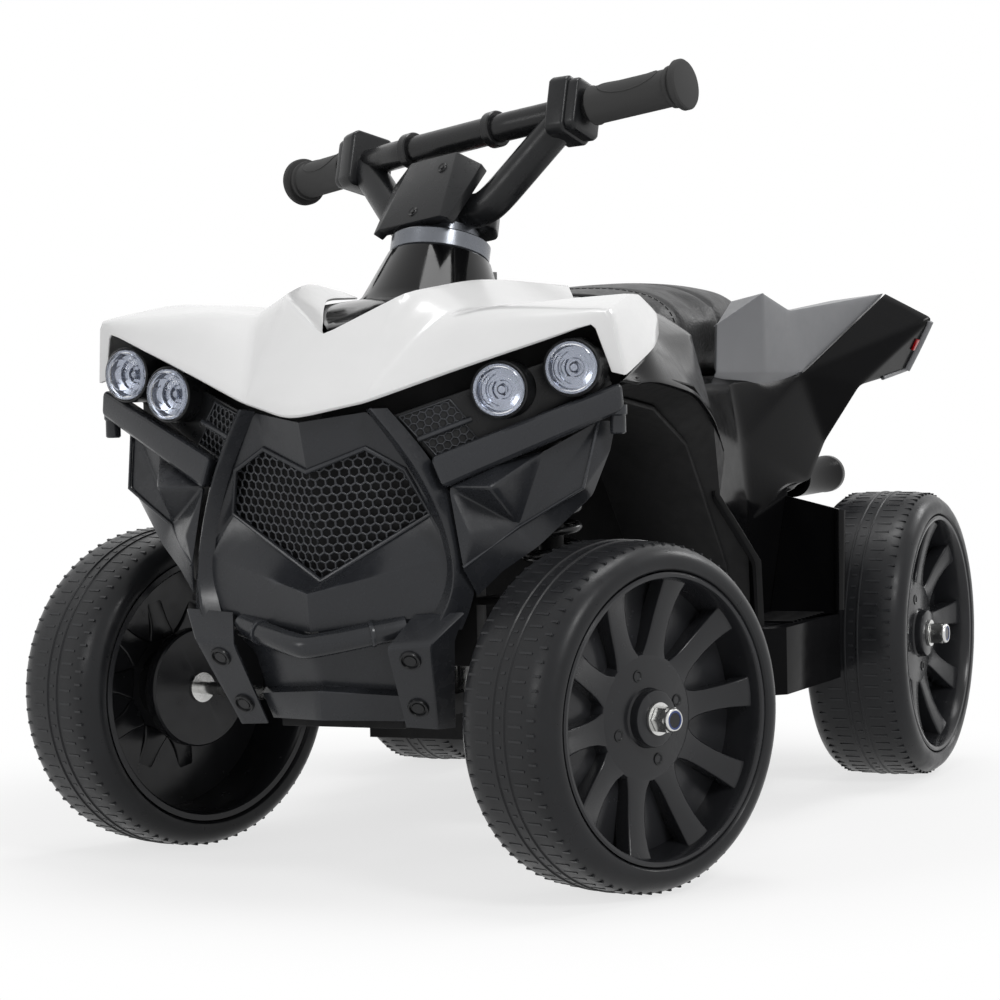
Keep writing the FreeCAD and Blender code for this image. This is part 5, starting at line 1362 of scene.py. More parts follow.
@dataclass
class Honeycomb:
    """Edges of a hexagon lattice on a flat panel, clipped to its outline."""

    origin: Vector
    across: Vector
    up: Vector
    ring: list[Vector]
    pitch: float

    def flat(self, point: Vector) -> tuple[float, float]:
        """A point's place on the panel."""
        return (point - self.origin).dot(self.across), (point - self.origin).dot(self.up)

    def lifted(self, spot: tuple[float, float]) -> Vector:
        """A flat place back in space."""
        return self.origin + self.across * spot[0] + self.up * spot[1]

    def edges(self) -> list[tuple[Vector, Vector]]:
        """Each lattice edge once, cut short at the outline.

        Returns:
            Pairs of points in millimetres.
        """
        outline = [self.flat(p) for p in self.ring]
        reach = self.pitch / math.sqrt(3)
        xs, ys = [p[0] for p in outline], [p[1] for p in outline]
        seen: dict[tuple, tuple] = {}
        for j in range(int(min(ys) / (1.5 * reach)) - 2, int(max(ys) / (1.5 * reach)) + 3):
            for i in range(int(min(xs) / self.pitch) - 2, int(max(xs) / self.pitch) + 3):
                cx, cy = self.pitch * (i + 0.5 * (j % 2)), 1.5 * reach * j
                tips = [(cx + reach * math.sin(a), cy + reach * math.cos(a))
                        for a in (math.radians(60 * k) for k in range(6))]
                for a, b in zip(tips, tips[1:] + tips[:1]):
                    key = tuple(sorted(((round(a[0], 2), round(a[1], 2)), (round(b[0], 2), round(b[1], 2)))))
                    seen[key] = (a, b)
        return [cut for a, b in seen.values() if (cut := self.clipped(a, b, outline))]

    def clipped(self, a: tuple, b: tuple, outline: list) -> tuple[Vector, Vector] | None:
        """An edge cut to the outline, or None where it lies outside.

        Args:
            a: one end.
            b: the other end.
            outline: the flat outline.

        Returns:
            Its two ends in space, or None.
        """
        steps = 8
        spots = [tuple(p + (q - p) * i / steps for p, q in zip(a, b)) for i in range(steps + 1)]
        kept = [s for s in spots if inside_polygon(s, outline)]
        if len(kept) < 2:
            return None
        return self.lifted(kept[0]), self.lifted(kept[-1])


@dataclass
class Headlamps:
    """Dark panels under the hood's brow with honeycomb vents and two round lamps on each side."""

    lamp_yaw: float = 11.0
    vent_pitch: float = 4.6
    vent_strand: float = 0.6
    vent_lift: float = 1.2
    bar_lift: float = 1.8
    lamp_steps: int = 72
    spots: dict[str, Vector] = table(from_front(outer=(50.7, 138.8, 168), inner=(67.5, 102.6, 156.7)))
    corners: dict[str, Vector] = table(from_front(
        top_in=(80, 44, 143.7), top_mid=(58, 87, 159.3), top_out=(27, 144.5, 180.8), low_in=(70, 66, 116),
        low_mid=(48, 106, 134), low_out=(21, 151, 158)))
    reflector: Profile = table([
        (14.2, -0.7), (12.6, -1.0), (11.5, -4.5), (8.6, -5.5), (8.2, -7.5), (5.2, -8.0), (4.6, -9.5),
        (0.0, -9.5), (0.0, -12.0), (14.2, -12.0)])
    bulb: Profile = table([(0.0, -5.4), (1.8, -5.8), (2.6, -7.0), (2.8, -9.4), (0.0, -9.4)])
    lens: Profile = table([
        (14.3, 0.0), (14.3, 1.5), (13.6, 2.3), (12.6, 2.3), (12.0, 3.1), (9.6, 3.9), (9.0, 3.6), (8.2, 4.2),
        (5.4, 4.7), (4.8, 4.4), (4.0, 4.8), (0.0, 5.0), (0.0, 3.6), (4.6, 3.3), (8.8, 2.6), (12.2, 1.4),
        (13.0, 0.0)])
    pod: Profile = table([
        (14.6, 0.3), (15.3, 0.6), (16.0, 0.0), (16.2, -3.0), (16.4, -24.0), (14.6, -24.0)])

    def lamp_frame(self, spot: Vector) -> Matrix:
        """A lamp's own axes, with Z along its beam."""
        yaw = math.radians(self.lamp_yaw)
        beam = Vector((math.cos(yaw), math.sin(yaw), 0))
        return placement(spot, turn_to(beam))

    def turned_set(self, name: str, profile: Profile) -> Thing:
        """One turned piece at each of the four lamps."""
        frames = [self.lamp_frame(spot) for spot in self.spots.values()]
        parts = [moved(lathe(name, profile, self.lamp_steps), frame) for frame in frames]
        return with_twin(name, joined(name + "_left", parts))

    def panel(self) -> Thing:
        """The panel's own wall.

        Returns:
            The piece.
        """
        faces = ["top_in low_in low_mid top_mid", "top_mid low_mid low_out top_out"]
        inside = Vector((150.0, 60.0, 240.0))
        wall = Shell("lamp_panel_wall", self.corners, faces, inside, hold=2, soften=1, wall=2.2).build()
        return with_twin("lamp_panel_pair", wall)

    def vents(self, bench: Bench) -> Thing:
        """Two honeycomb patches beside the inner lamp and the bar between them.

        Args:
            bench: the shared workbench.

        Returns:
            The piece.
        """
        c = self.corners
        across = (c["low_mid"] - c["low_in"]).normalized()
        rise = c["top_in"] - c["low_in"]
        up = (rise - across * rise.dot(across)).normalized()
        ahead = up.cross(across).normalized()
        ahead = ahead if ahead.x > 0 else -ahead
        lift = ahead * self.vent_lift
        parts = []
        patches = ((0.52, 0.94, 0.04, 0.62), (0.08, 0.46, 0.06, 0.56))
        for low, high, start, stop in patches:
            places = ((start, low), (stop, low), (stop, high), (start, high))
            ring = [self.spot_on(u, v) + lift for u, v in places]
            comb = Honeycomb(c["low_in"] + lift, across, up, ring, self.vent_pitch)
            parts.append(bench.lattice("vent_comb", GREY_BUMPER, comb.edges(), self.vent_strand))
            parts.append(tube("vent_frame", [*ring, ring[0]], 0.8, smooth=False, sides=3))
        bar = [self.spot_on(u, 0.49) + ahead * self.bar_lift for u in (0.02, 0.66)]
        parts.append(tube("vent_bar", bar, 1.7, smooth=False))
        return with_twin("lamp_vents", joined("lamp_vents_left", parts))

    def backing(self) -> Thing:
        """The dark wall behind the panels and the nose, up under the hood.

        Returns:
            The piece.
        """
        corners = from_front(
            top_0=(78, 0, 174), top_1=(58, 45, 178), top_2=(38, 88, 188), top_3=(12, 150, 193),
            low_0=(78, 0, 100), low_1=(58, 60, 100), low_2=(36, 104, 118), low_3=(8, 152, 143),
            foot_0=(66, 0, 30), foot_1=(56, 66, 36), foot_2=(40, 98, 64), near_0=(76, 66, 119),
            near_1=(68, 80, 88), near_2=(65, 87, 47), far_0=(60, 78, 119), far_1=(58, 95, 88),
            far_2=(58, 95, 53))
        faces = [f"top_{i} low_{i} low_{i + 1} top_{i + 1}" for i in range(3)]
        faces += [f"low_{i} foot_{i} foot_{i + 1} low_{i + 1}" for i in range(2)]
        faces += [f"near_{i} near_{i + 1} far_{i + 1} far_{i}" for i in range(2)]
        return Shell("lamp_backing", corners, faces, Vector((100.0, 0.0, 260.0)), mirror=True, soften=0,
                     wall=1.2, edge_round=0.0).build()

    def spot_on(self, u: float, v: float) -> Vector:
        """A place on the inner half of the panel: u from the middle of the bike outwards, v upwards."""
        c = self.corners
        return c["low_in"].lerp(c["low_mid"], u).lerp(c["top_in"].lerp(c["top_mid"], u), v)

    def dress(self, bench: Bench) -> None:
        """Hands in the panels, vents, bowls and lenses.

        Args:
            bench: the shared workbench.
        """
        panels = joined("lamp_panels_dress", [self.panel(), self.turned_set("lamp_pods", self.pod)])
        bench.hand_in(shade(panels), "frame", SATIN, "headlamp_panels")
        bench.hand_in(self.vents(bench), "frame", GREY_BUMPER)
        bench.hand_in(self.backing(), "frame", ROUGH)
        bench.hand_in(self.turned_set("lamp_bulbs", self.bulb), "frame", MIRROR)
        bench.hand_in(self.turned_set("lamp_bowls", self.reflector), "frame", MIRROR, "headlamp_reflectors")
        bench.hand_in(self.turned_set("lamp_lenses_dress", self.lens), "frame", LENS, "headlamp_lenses")


@dataclass
class Bumper:
    """The grey front guard: nose panel, curved pillars, legs, bar, wings, honeycomb and bolts."""

    inside: Vector = table(Vector((150.0, 0.0, 160.0)))
    grille_pitch: float = 5.5
    grille_strand: float = 0.7
    grille_border: float = 1.5
    grille_seam: float = 0.4
    backing_spread: float = 1.12
    backing_depth: float = 4.5
    bar_radius: float = 6.6
    sharp: float = 14.0
    bar_half_path: list[Point] = table([
        (105.5, 3.0, 17.6), (100.0, 18.0, 20.4), (92.0, 34.0, 23.8), (82.0, 50.0, 27.0)])

    def nose(self) -> Thing:
        """The panel round the grille, the chin and the plate below it.

        Returns:
            The piece.
        """
        corners = from_front(
            peak=(108, 0, 141), brow=(93, 34, 146), grille_v=(99, 0, 113.5), grille_up=(89, 31.4, 126),
            bend=(83, 52, 114), bend_out=(80, 62, 117), grille_out=(70, 61, 89), grille_low=(84, 0, 52),
            chin=(102.4, 0, 46.5), chin_low=(99.8, 0, 25), cheek=(74, 76, 66), jaw=(77, 70, 34),
            throat=(92, 0, 8), throat_out=(80, 44, 11), hem=(85, 0, -6), hem_out=(70, 43, -9),
            ledge=(90, 0, -8.5), ledge_out=(75, 43, -12), toe=(89, 0, -25), toe_out=(66, 41, -27))
        faces = ["peak grille_v grille_up brow", "brow grille_up bend bend_out",
                 "bend_out bend grille_out cheek", "grille_out grille_low chin cheek",
                 "cheek chin chin_low jaw", "jaw chin_low throat throat_out", "throat_out throat hem hem_out",
                 "hem_out hem ledge ledge_out", "ledge_out ledge toe toe_out"]
        ring = [corners[name] for name in ("grille_low", "grille_out", "bend", "grille_up", "grille_v")]
        ring += [on_side(p, Side.RIGHT) for p in reversed(ring[1:-1])]
        ring = [p + Vector((0.6, 0, 0)) for p in (*ring, ring[0])]
        border = tube("grille_border", ring, self.grille_border, smooth=False, sides=3)
        creases = {"chin chin_low": 1.0, "grille_low chin": 1.0, "peak grille_v": 1.0, "cheek chin": 0.8,
                   "jaw chin_low": 0.8, "brow grille_up": 0.8, "hem_out hem": 1.0, "ledge_out ledge": 1.0}
        panel = Shell("bumper_nose_panel", corners, faces, self.inside, mirror=True, hold=3, soften=1,
                      wall=2.6, creases=creases).build()
        return joined("bumper_nose", [panel, border])

    def pillar(self) -> Thing:
        """The left pillar, a smooth ridge from the brow to the leg.

        Returns:
            The piece.
        """
        corners = from_front(
            i0=(93, 34, 147), p0=(101, 40, 148), o0=(91, 46, 148), i1=(84, 53, 119), p1=(91, 60, 120),
            o1=(79, 66, 121), i2=(76, 68, 88), p2=(82, 74.5, 88), o2=(70, 81, 88), i3=(73, 75, 52),
            p3=(79, 82, 50), o3=(67, 89, 49), i4=(82, 62, 27), p4=(90, 71, 26), o4=(78, 82, 26))
        strips = ("ip", "po")
        faces = [f"{a}{i} {a}{i + 1} {b}{i + 1} {b}{i}" for i in range(4) for a, b in strips]
        creases = {f"p{i} p{i + 1}": 0.55 for i in range(4)}
        return Shell("bumper_pillar", corners, faces, self.inside, hold=0, soften=3, wall=2.6,
                     creases=creases).build()

    def leg_corners(self) -> dict[str, Vector]:
        """The skid leg's corners: its plate, the side wall and the slope up to the pillar."""
        return from_front(
            k0=(84, 56, 34), k1=(83, 86, 36), i5=(101, 47, 17), o5=(99, 72, 19), i6=(69, 43, -30),
            o6=(67, 61, -31), s5=(84, 80, 20), s6=(56, 67, -31))

    def leg(self) -> Thing:
        """The left skid leg with its bolted plate."""
        faces = ["k0 i5 o5 k1", "i5 i6 o6 o5", "o5 o6 s6 s5", "k1 o5 s5"]
        return Shell("bumper_leg", self.leg_corners(), faces, self.inside, hold=3, soften=1, wall=3.0,
                     edge_round=0.9).build()

    def bar(self) -> Thing:
        """The rounded lower bar that dips to the middle, with a ring near each end.

        Returns:
            The piece.
        """
        half = [FRONT_DATUM + Vector(p) for p in self.bar_half_path]
        path = [on_side(p, Side.RIGHT) for p in reversed(half)] + half
        parts = [tube("bumper_bar", path, self.bar_radius, sides=16)]
        ring = [(5.8, -1.2), (7.1, -1.2), (7.3, 0.0), (7.1, 1.2), (5.8, 1.2)]
        near, far = half[2], half[3]
        run = (far - near).normalized()
        for side in Side:
            frame = placement(on_side(near, side), turn_to(on_side(run, side)))
            parts.append(moved(lathe("bar_collar", ring, 40), frame))
        return joined("bumper_bar_whole", parts)

    def beam(self) -> Thing:
        """The left bar under the lamps with its end block and peg.

        Returns:
            The piece.
        """
        corners = from_front(
            a=(86, 67, 121), b=(71, 67, 120), c=(69, 73, 103), d=(84, 74, 103), e=(38.5, 163, 160),
            f=(27, 159, 159), g=(27, 160, 144), h=(38, 164.5, 144))
        faces: Faces = [(0, 1, 2, 3), (4, 5, 6, 7), (0, 1, 5, 4), (1, 2, 6, 5), (2, 3, 7, 6), (3, 0, 4, 7)]
        bar = bevelled(mesh_of("lamp_beam", list(corners.values()), faces), 4.0, 4)
        peg_profile = [(0.0, 0.0), (3.6, 0.0), (4.4, 0.8), (4.4, 10.0), (5.2, 11.0), (5.2, 16.0), (0.0, 16.0)]
        peg = shifted(lathe("beam_peg", peg_profile, 36), FRONT_DATUM + Vector((33.0, 158.5, 131.0)))
        return joined("lamp_beam_whole", [bar, peg])

    def wing_line(self) -> Thing:
        """The raised line where the left wing turns out into its rim."""
        path = [FRONT_DATUM + Vector(p) for p in ((79, 84, 60), (57, 108, 81), (45, 142, 102),
                                                  (32, 146.5, 138))]
        return tube("wing_line", path, 1.0, smooth=False, sides=3)

    def wing(self) -> Thing:
        """The left faceted wing with its turned-out rim.

        Returns:
            The piece.
        """
        corners = from_front(
            a=(78, 76, 104), b=(62, 98, 118), c=(84, 103, 104), d=(56, 108, 82), e=(48, 120, 122),
            n0=(31, 146, 138), n1=(44, 142, 102), i4=(78, 88, 77), i5=(79, 84, 60), f0=(22, 153, 138),
            f1=(26, 151, 122), f2=(34, 143, 97), f3=(52, 117.5, 70), f4=(63, 100.5, 57), f5=(70, 88.5, 44))
        faces = ["a b c", "a c d", "a d i4", "b e c", "c e d", "e n0 d", "n0 n1 d", "n0 f0 f1 n1", "n1 f1 f2",
                 "n1 f2 f3 d", "d f3 f4 i4", "i4 f4 f5 i5", "a i4 i5"]
        return Shell("bumper_wing", corners, faces, Vector((150.0, 40.0, 240.0)), hold=3, soften=1,
                     edge_round=0.5).build()

    def grille_spots(self) -> dict[str, Vector]:
        """Corners of the left half of the honeycomb insert."""
        return from_front(
            low=(82, 0, 51), out=(68.5, 62, 89), bend=(78, 53, 115), up=(86, 33, 127), top=(96, 0, 114))

    def grille(self, bench: Bench) -> Thing:
        """The honeycomb on both halves of the nose.

        Args:
            bench: the shared workbench.

        Returns:
            The piece.
        """
        spots = self.grille_spots()
        up = (spots["top"] - spots["low"]).normalized()
        across = spots["out"] - spots["low"]
        across = (across - up * across.dot(up)).normalized()
        seam = Vector((0, -self.grille_seam, 0))
        outline = [p if p.y > 1 else p + seam for p in spots.values()]
        comb = Honeycomb(spots["low"], across, up, outline, self.grille_pitch)
        strands = bench.lattice("grille_comb", GREY_BUMPER, comb.edges(), self.grille_strand)
        return with_twin("grille_dress", strands)

    def grille_back(self) -> Thing:
        """The dark sheet behind the honeycomb, a little larger than it.

        Returns:
            The piece.
        """
        heart = FRONT_DATUM + Vector((0, 0, 89))
        corners = {}
        for name, spot in self.grille_spots().items():
            height = heart.z + (spot.z - heart.z) * self.backing_spread
            corners[name] = Vector((spot.x - self.backing_depth, spot.y * self.backing_spread, height))
        sheet = Shell("grille_back", corners, ["low out bend up top"], self.inside, mirror=True, hold=1,
                      soften=0, wall=1.2, edge_round=0.0)
        return sheet.build()

    def bolts(self) -> Thing:
        """Four ringed bolts, square to the plates of the legs.

        Returns:
            The piece.
        """
        profile = [(0.0, 1.1), (3.4, 1.1), (3.8, 0.5), (4.4, 0.5), (4.9, 1.7), (5.7, 1.7), (6.1, 0.9),
                   (6.1, -2.0), (0.0, -2.0)]
        c = self.leg_corners()
        ahead = (c["i6"] - c["i5"]).cross(c["o5"] - c["i5"]).normalized()
        turn = turn_to(ahead if ahead.x > 0 else -ahead)
        parts = []
        for share in (0.16, 0.74):
            spot = c["i5"].lerp(c["i6"], share).lerp(c["o5"].lerp(c["o6"], share), 0.5)
            parts.append(moved(lathe("leg_bolt", profile, 44), placement(spot, turn)))
        return with_twin("bumper_bolts_dress", joined("leg_bolts", parts))

    def dress(self, bench: Bench) -> None:
        """Hands in the guard, its wings, the honeycomb and the bolts.

        Args:
            bench: the shared workbench.
        """
        legs = with_twin("bumper_sides", joined("bumper_side", [self.pillar(), self.leg()]))
        guard = joined("front_bumper_dress", [self.nose(), legs, self.bar()])
        bench.hand_in(shade(guard, self.sharp), "frame", GREY_BUMPER, "front_bumper")
        left = joined("bumper_wing_left", [self.beam(), self.wing(), self.wing_line()])
        wings = with_twin("bumper_wings_dress", left)
        bench.hand_in(shade(wings, self.sharp), "frame", GREY_BUMPER, "bumper_wings")
        bench.hand_in(self.grille(bench), "frame", GREY_BUMPER, "grille_mesh")
        bench.hand_in(self.grille_back(), "frame", ROUGH)
        bench.hand_in(self.bolts(), "frame", SATIN, "bumper_bolts")


@dataclass
class Flanks:
    """Front fenders, side panels, inner arches and footrests."""

    inside: Vector = table(Vector((20.0, 20.0, 180.0)))
    liner_edge: float = 130.5
    rib_count: int = 9
    rib_start: float = -62.0
    rib_pitch: float = 8.0
    rib_ends: tuple[float, float] = (122.0, 158.0)
    rib_height: float = 120.1
    rib_radius: float = 1.3
    guard_round: float = 3.6

    def fender(self) -> Thing:
        """The left gloss arch and knee shield.

        Returns:
            The piece.
        """
        corners = from_front(
            lip_front=(15, 165, 159), lip_top=(-17, 166, 158), lip_back=(-87, 162, 150),
            lip_low=(-147, 152, 132), lip_end=(-190, 142, 112), edge_front=(33, 161, 160),
            edge_top=(-18, 160, 176), edge_back=(-84, 139, 183), corner=(-165, 131, 184),
            knee=(-202, 128, 136), inner_front=(-124, 72, 209), inner_mid=(-114, 112, 203),
            inner_back=(-200, 70, 203), back_mid=(-188, 100, 199), under_in=(-90, 66, 206),
            under_mid=(-50, 100, 197), under_out=(-44, 135, 193))
        faces = ["lip_front lip_top edge_top edge_front", "lip_top lip_back edge_back edge_top",
                 "lip_back lip_low corner edge_back", "lip_low lip_end knee corner",
                 "edge_back corner back_mid inner_mid", "inner_mid back_mid inner_back inner_front",
                 "inner_front under_in under_mid inner_mid", "inner_mid under_mid under_out edge_back"]
        creases = {"edge_top edge_back": 0.5, "edge_back corner": 0.6, "corner knee": 0.5}
        return Shell("left_front_fender_dress", corners, faces, self.inside, hold=1, soften=2, edge_round=0.8,
                     creases=creases).build()

    def panel(self) -> Thing:
        """The left flank with the wing over the rear wheel.

        Returns:
            The piece.
        """
        corners = from_front(
            a0=(-202, 71, 199), a1=(-167, 131, 180), a2=(-204, 128, 133), a3=(-191, 142, 109),
            a4=(-178, 139, 86), a5=(-222, 150, 42), a6=(-226, 150, -1.5), b0=(-255, 82, 157),
            b1=(-255, 100, 152), b2=(-252, 106, 125), b3=(-256, 110, 75), b4=(-252, 112, -1.5))
        corners.update(from_rear(
            c0=(110, 83, 156), c1=(110, 92, 150), c2=(110, 100, 110), c3=(110, 104, 60), c4=(108, 108, -1.5),
            e3=(75.5, 119.6, 75.5), e4=(97, 114.4, -1.5), d0=(50, 99, 154), d1=(22, 113.5, 154.5),
            d2=(-7, 120, 108), d3=(25, 119, 83), d4=(68, 117, 80), w1=(-106, 135.5, 209), w2=(-108, 169, 191),
            w3=(-108, 149, 154), w4=(-26, 140, 146)))
        faces = ["a0 a1 b1 b0", "a1 a2 b2 b1", "a2 a3 b3 b2", "a3 a4 b3", "a4 a5 b3", "a5 a6 b4 b3",
                 "b0 b1 c1 c0", "b1 b2 c2 c1", "b2 b3 c3 c2", "b3 b4 c4 c3", "c0 c1 d0", "c1 c2 d1 d0",
                 "c2 d3 d2 d1", "c3 d4 d3 c2", "c3 c4 e4 e3", "c3 e3 d4", "d1 d2 w4", "d1 w4 w2", "d1 w2 w1",
                 "w4 w3 w2"]
        return Shell("left_side_panel_dress", corners, faces, Vector((-90.0, 0.0, 200.0)), hold=3, soften=1,
                     edge_round=0.8).build()

    def arch_flange(self) -> Thing:
        """The left flange that closes the arch between its liner and the lip of the fender.

        Returns:
            The piece.
        """
        liner = [(30, 145), (-20, 152), (-90, 143), (-145, 120), (-174, 88), (-216, 40), (-219, 0.4)]
        lip = [(15, 163.5, 161), (-17, 164, 161), (-87, 160, 154), (-147, 150, 136), (-183, 141, 86),
               (-227, 152, 42), (-231, 152, 0.6)]
        corners = from_front(**{f"in_{i}": (x, self.liner_edge, z) for i, (x, z) in enumerate(liner)})
        corners.update(from_front(**{f"out_{i}": spot for i, spot in enumerate(lip)}))
        corners.update(from_front(knee=(-190, 142, 109)))
        faces = [f"in_{i} in_{i + 1} out_{i + 1} out_{i}" for i in range(len(lip) - 1)]
        faces.append("out_3 out_4 knee")
        return Shell("arch_flange_left", corners, faces, self.inside, soften=0, wall=1.0,
                     edge_round=0.0).build()

    def footrest_pads(self) -> Thing:
        """Grip ribs on the left step, and the round along the outer edge of its guard.

        Returns:
            The piece.
        """
        ribs = []
        for i in range(self.rib_count):
            x = self.rib_start - self.rib_pitch * i
            path = [Vector((x, y, self.rib_height)) for y in self.rib_ends]
            ribs.append(tube("step_rib", path, self.rib_radius, smooth=False, sides=3))
        edge = [REAR_DATUM + Vector(spot) for spot in ((112, 166, 2), (110, 166, 35), (108, 166, 67))]
        ribs.append(tube("guard_edge", edge, self.guard_round))
        return joined("step_ribs_left", ribs)

    def dress(self, bench: Bench) -> None:
        """Hands in both sides.

        Args:
            bench: the shared workbench.
        """
        fender, panel, ribs = self.fender(), self.panel(), self.footrest_pads()
        for label, left in (("front_fender", fender), ("side_panel", panel)):
            right = twin(left, f"right_{label}_dress")
            bench.hand_in(left, "frame", FLANK, "left_" + label)
            bench.hand_in(right, "frame", FLANK, "right_" + label)
        bench.hand_in(with_twin("step_ribs", ribs), "frame", GLOSS)
        bench.hand_in(with_twin("arch_flanges", self.arch_flange()), "frame", ROUGH)
        for side in ("left", "right"):
            step = bench.softened(f"{side}_footrest", 1.4, f"{side}_footrest_dress")
            bench.hand_in(step, "frame", FLANK, f"{side}_footrest")
        bench.hand_in(bench.softened("wheel_liners", 0.8, "wheel_liners_dress"), "frame", ROUGH,
                      "wheel_liners")


@dataclass
class Tail:
    """Grey rear fender tops, the tail panel, its lamps and the pipes."""

    def fender(self) -> Thing:
        """The left grey top.

        Returns:
            The piece.
        """
        corners = from_rear(
            q0=(118, 86, 158.8), q1=(68, 103, 157.3), q2=(20, 113, 155.9), r0=(115, 86, 190),
            r1=(82, 107, 210), r2=(34, 110, 198), r3=(-104, 134.5, 209.3), u1=(80, 84, 205), u2=(20, 84, 195),
            u3=(-103, 96, 205), s0=(118, 82, 150), s1=(68, 99, 149), s2=(20, 109, 147.5), s3=(-103, 129, 200))
        faces = ["s0 s1 q1 q0", "s1 s2 q2 q1", "s2 s3 r3 q2", "q0 q1 r1 r0", "q1 q2 r2 r1", "q2 r3 r2",
                 "r1 r2 u2 u1", "r2 r3 u3 u2", "r0 r1 u1"]
        creases = {"q1 r1": 1.0, "r1 r2": 0.9, "r2 r3": 0.7, "r0 r1": 1.0, "r1 u1": 1.0, "q2 r2": 0.7,
                   "q0 q1": 0.9, "q1 q2": 0.9, "q2 r3": 0.9}
        return Shell("rear_fender_left", corners, faces, Vector((-245.0, 0.0, 180.0)), hold=2, soften=2,
                     creases=creases).build()

    def back(self) -> Thing:
        """The panel behind the seat and across the tail.

        Returns:
            The piece.
        """
        corners = from_rear(
            lip=(18, 0, 160), lip_side=(18, 86, 160), front=(-3, 0, 187), front_side=(-3, 89, 187),
            edge=(-103, 100, 201.5), edge_top=(-103, 0, 201.5), low_side=(-106, 120, 152), low=(-106, 0, 150))
        faces = ["front edge_top edge front_side", "edge_top low low_side edge",
                 "lip front front_side lip_side"]
        return Shell("tail_panel_dress", corners, faces, Vector((-290.0, 0.0, 270.0)), mirror=True, hold=2,
                     soften=1, edge_round=0.8).build()

    def end_cap(self) -> Thing:
        """The grey round along the left wing's end and its lower edge.

        Returns:
            The piece.
        """
        path = [REAR_DATUM + Vector(p) for p in ((-107, 167.5, 189), (-108, 159, 172), (-107.5, 149.5, 155))]
        under = [path[-1], REAR_DATUM + Vector((-66, 144.5, 149.8))]
        parts = [tube("wing_end", path, 3.0), tube("wing_under", under, 1.5, smooth=False)]
        return joined("wing_end_left", parts)

    def side_lamp(self) -> Thing:
        """The small red lamp on the left wing's end.

        Returns:
            The piece.
        """
        plate = [(2.6, 4.4), (-2.6, 4.4), (-2.0, -4.4), (2.0, -4.4)]
        block = bevelled(prism("side_lamp", plate, 2.4), 0.7)
        turn = turn_to(Vector((0.05, 0.879, -0.475)))
        return moved(block, placement(REAR_DATUM + Vector((-99, 158, 173)), turn))

    def pipe(self) -> Thing:
        """The left tail pipe with a rolled rim.

        Returns:
            The piece.
        """
        profile = [(0.0, 0.0), (11.6, 0.0), (12.5, 1.0), (12.5, 70.0), (12.9, 71.0), (12.9, 78.6),
                   (12.2, 79.8), (10.6, 80.0), (9.4, 79.2), (9.0, 77.0), (9.0, 40.0), (0.0, 40.0)]
        spot = REAR_DATUM + Vector((18.0, 104.6, 83.0))
        return moved(lathe("tail_pipe", profile, 56), placement(spot, turn_about("Y", -90)))

    def dress(self, bench: Bench) -> None:
        """Hands in the tail.

        Args:
            bench: the shared workbench.
        """
        bench.hand_in(with_twin("rear_fenders_dress", self.fender()), "frame", GREY_FENDER, "rear_fenders")
        bench.hand_in(self.back(), "frame", GREY_FENDER, "tail_panel")
        lamps = bench.softened("tail_lamps", 1.4, "tail_lamps_dress")
        bench.hand_in(lamps, "frame", RED_LENS, "tail_lamps")
        bench.hand_in(with_twin("wing_ends", self.end_cap()), "frame", GREY_FENDER)
        bench.hand_in(with_twin("side_lamps", self.side_lamp()), "frame", RED_LENS)
        bench.hand_in(with_twin("tail_pipes_dress", self.pipe()), "frame", FLANK, "tail_pipes")


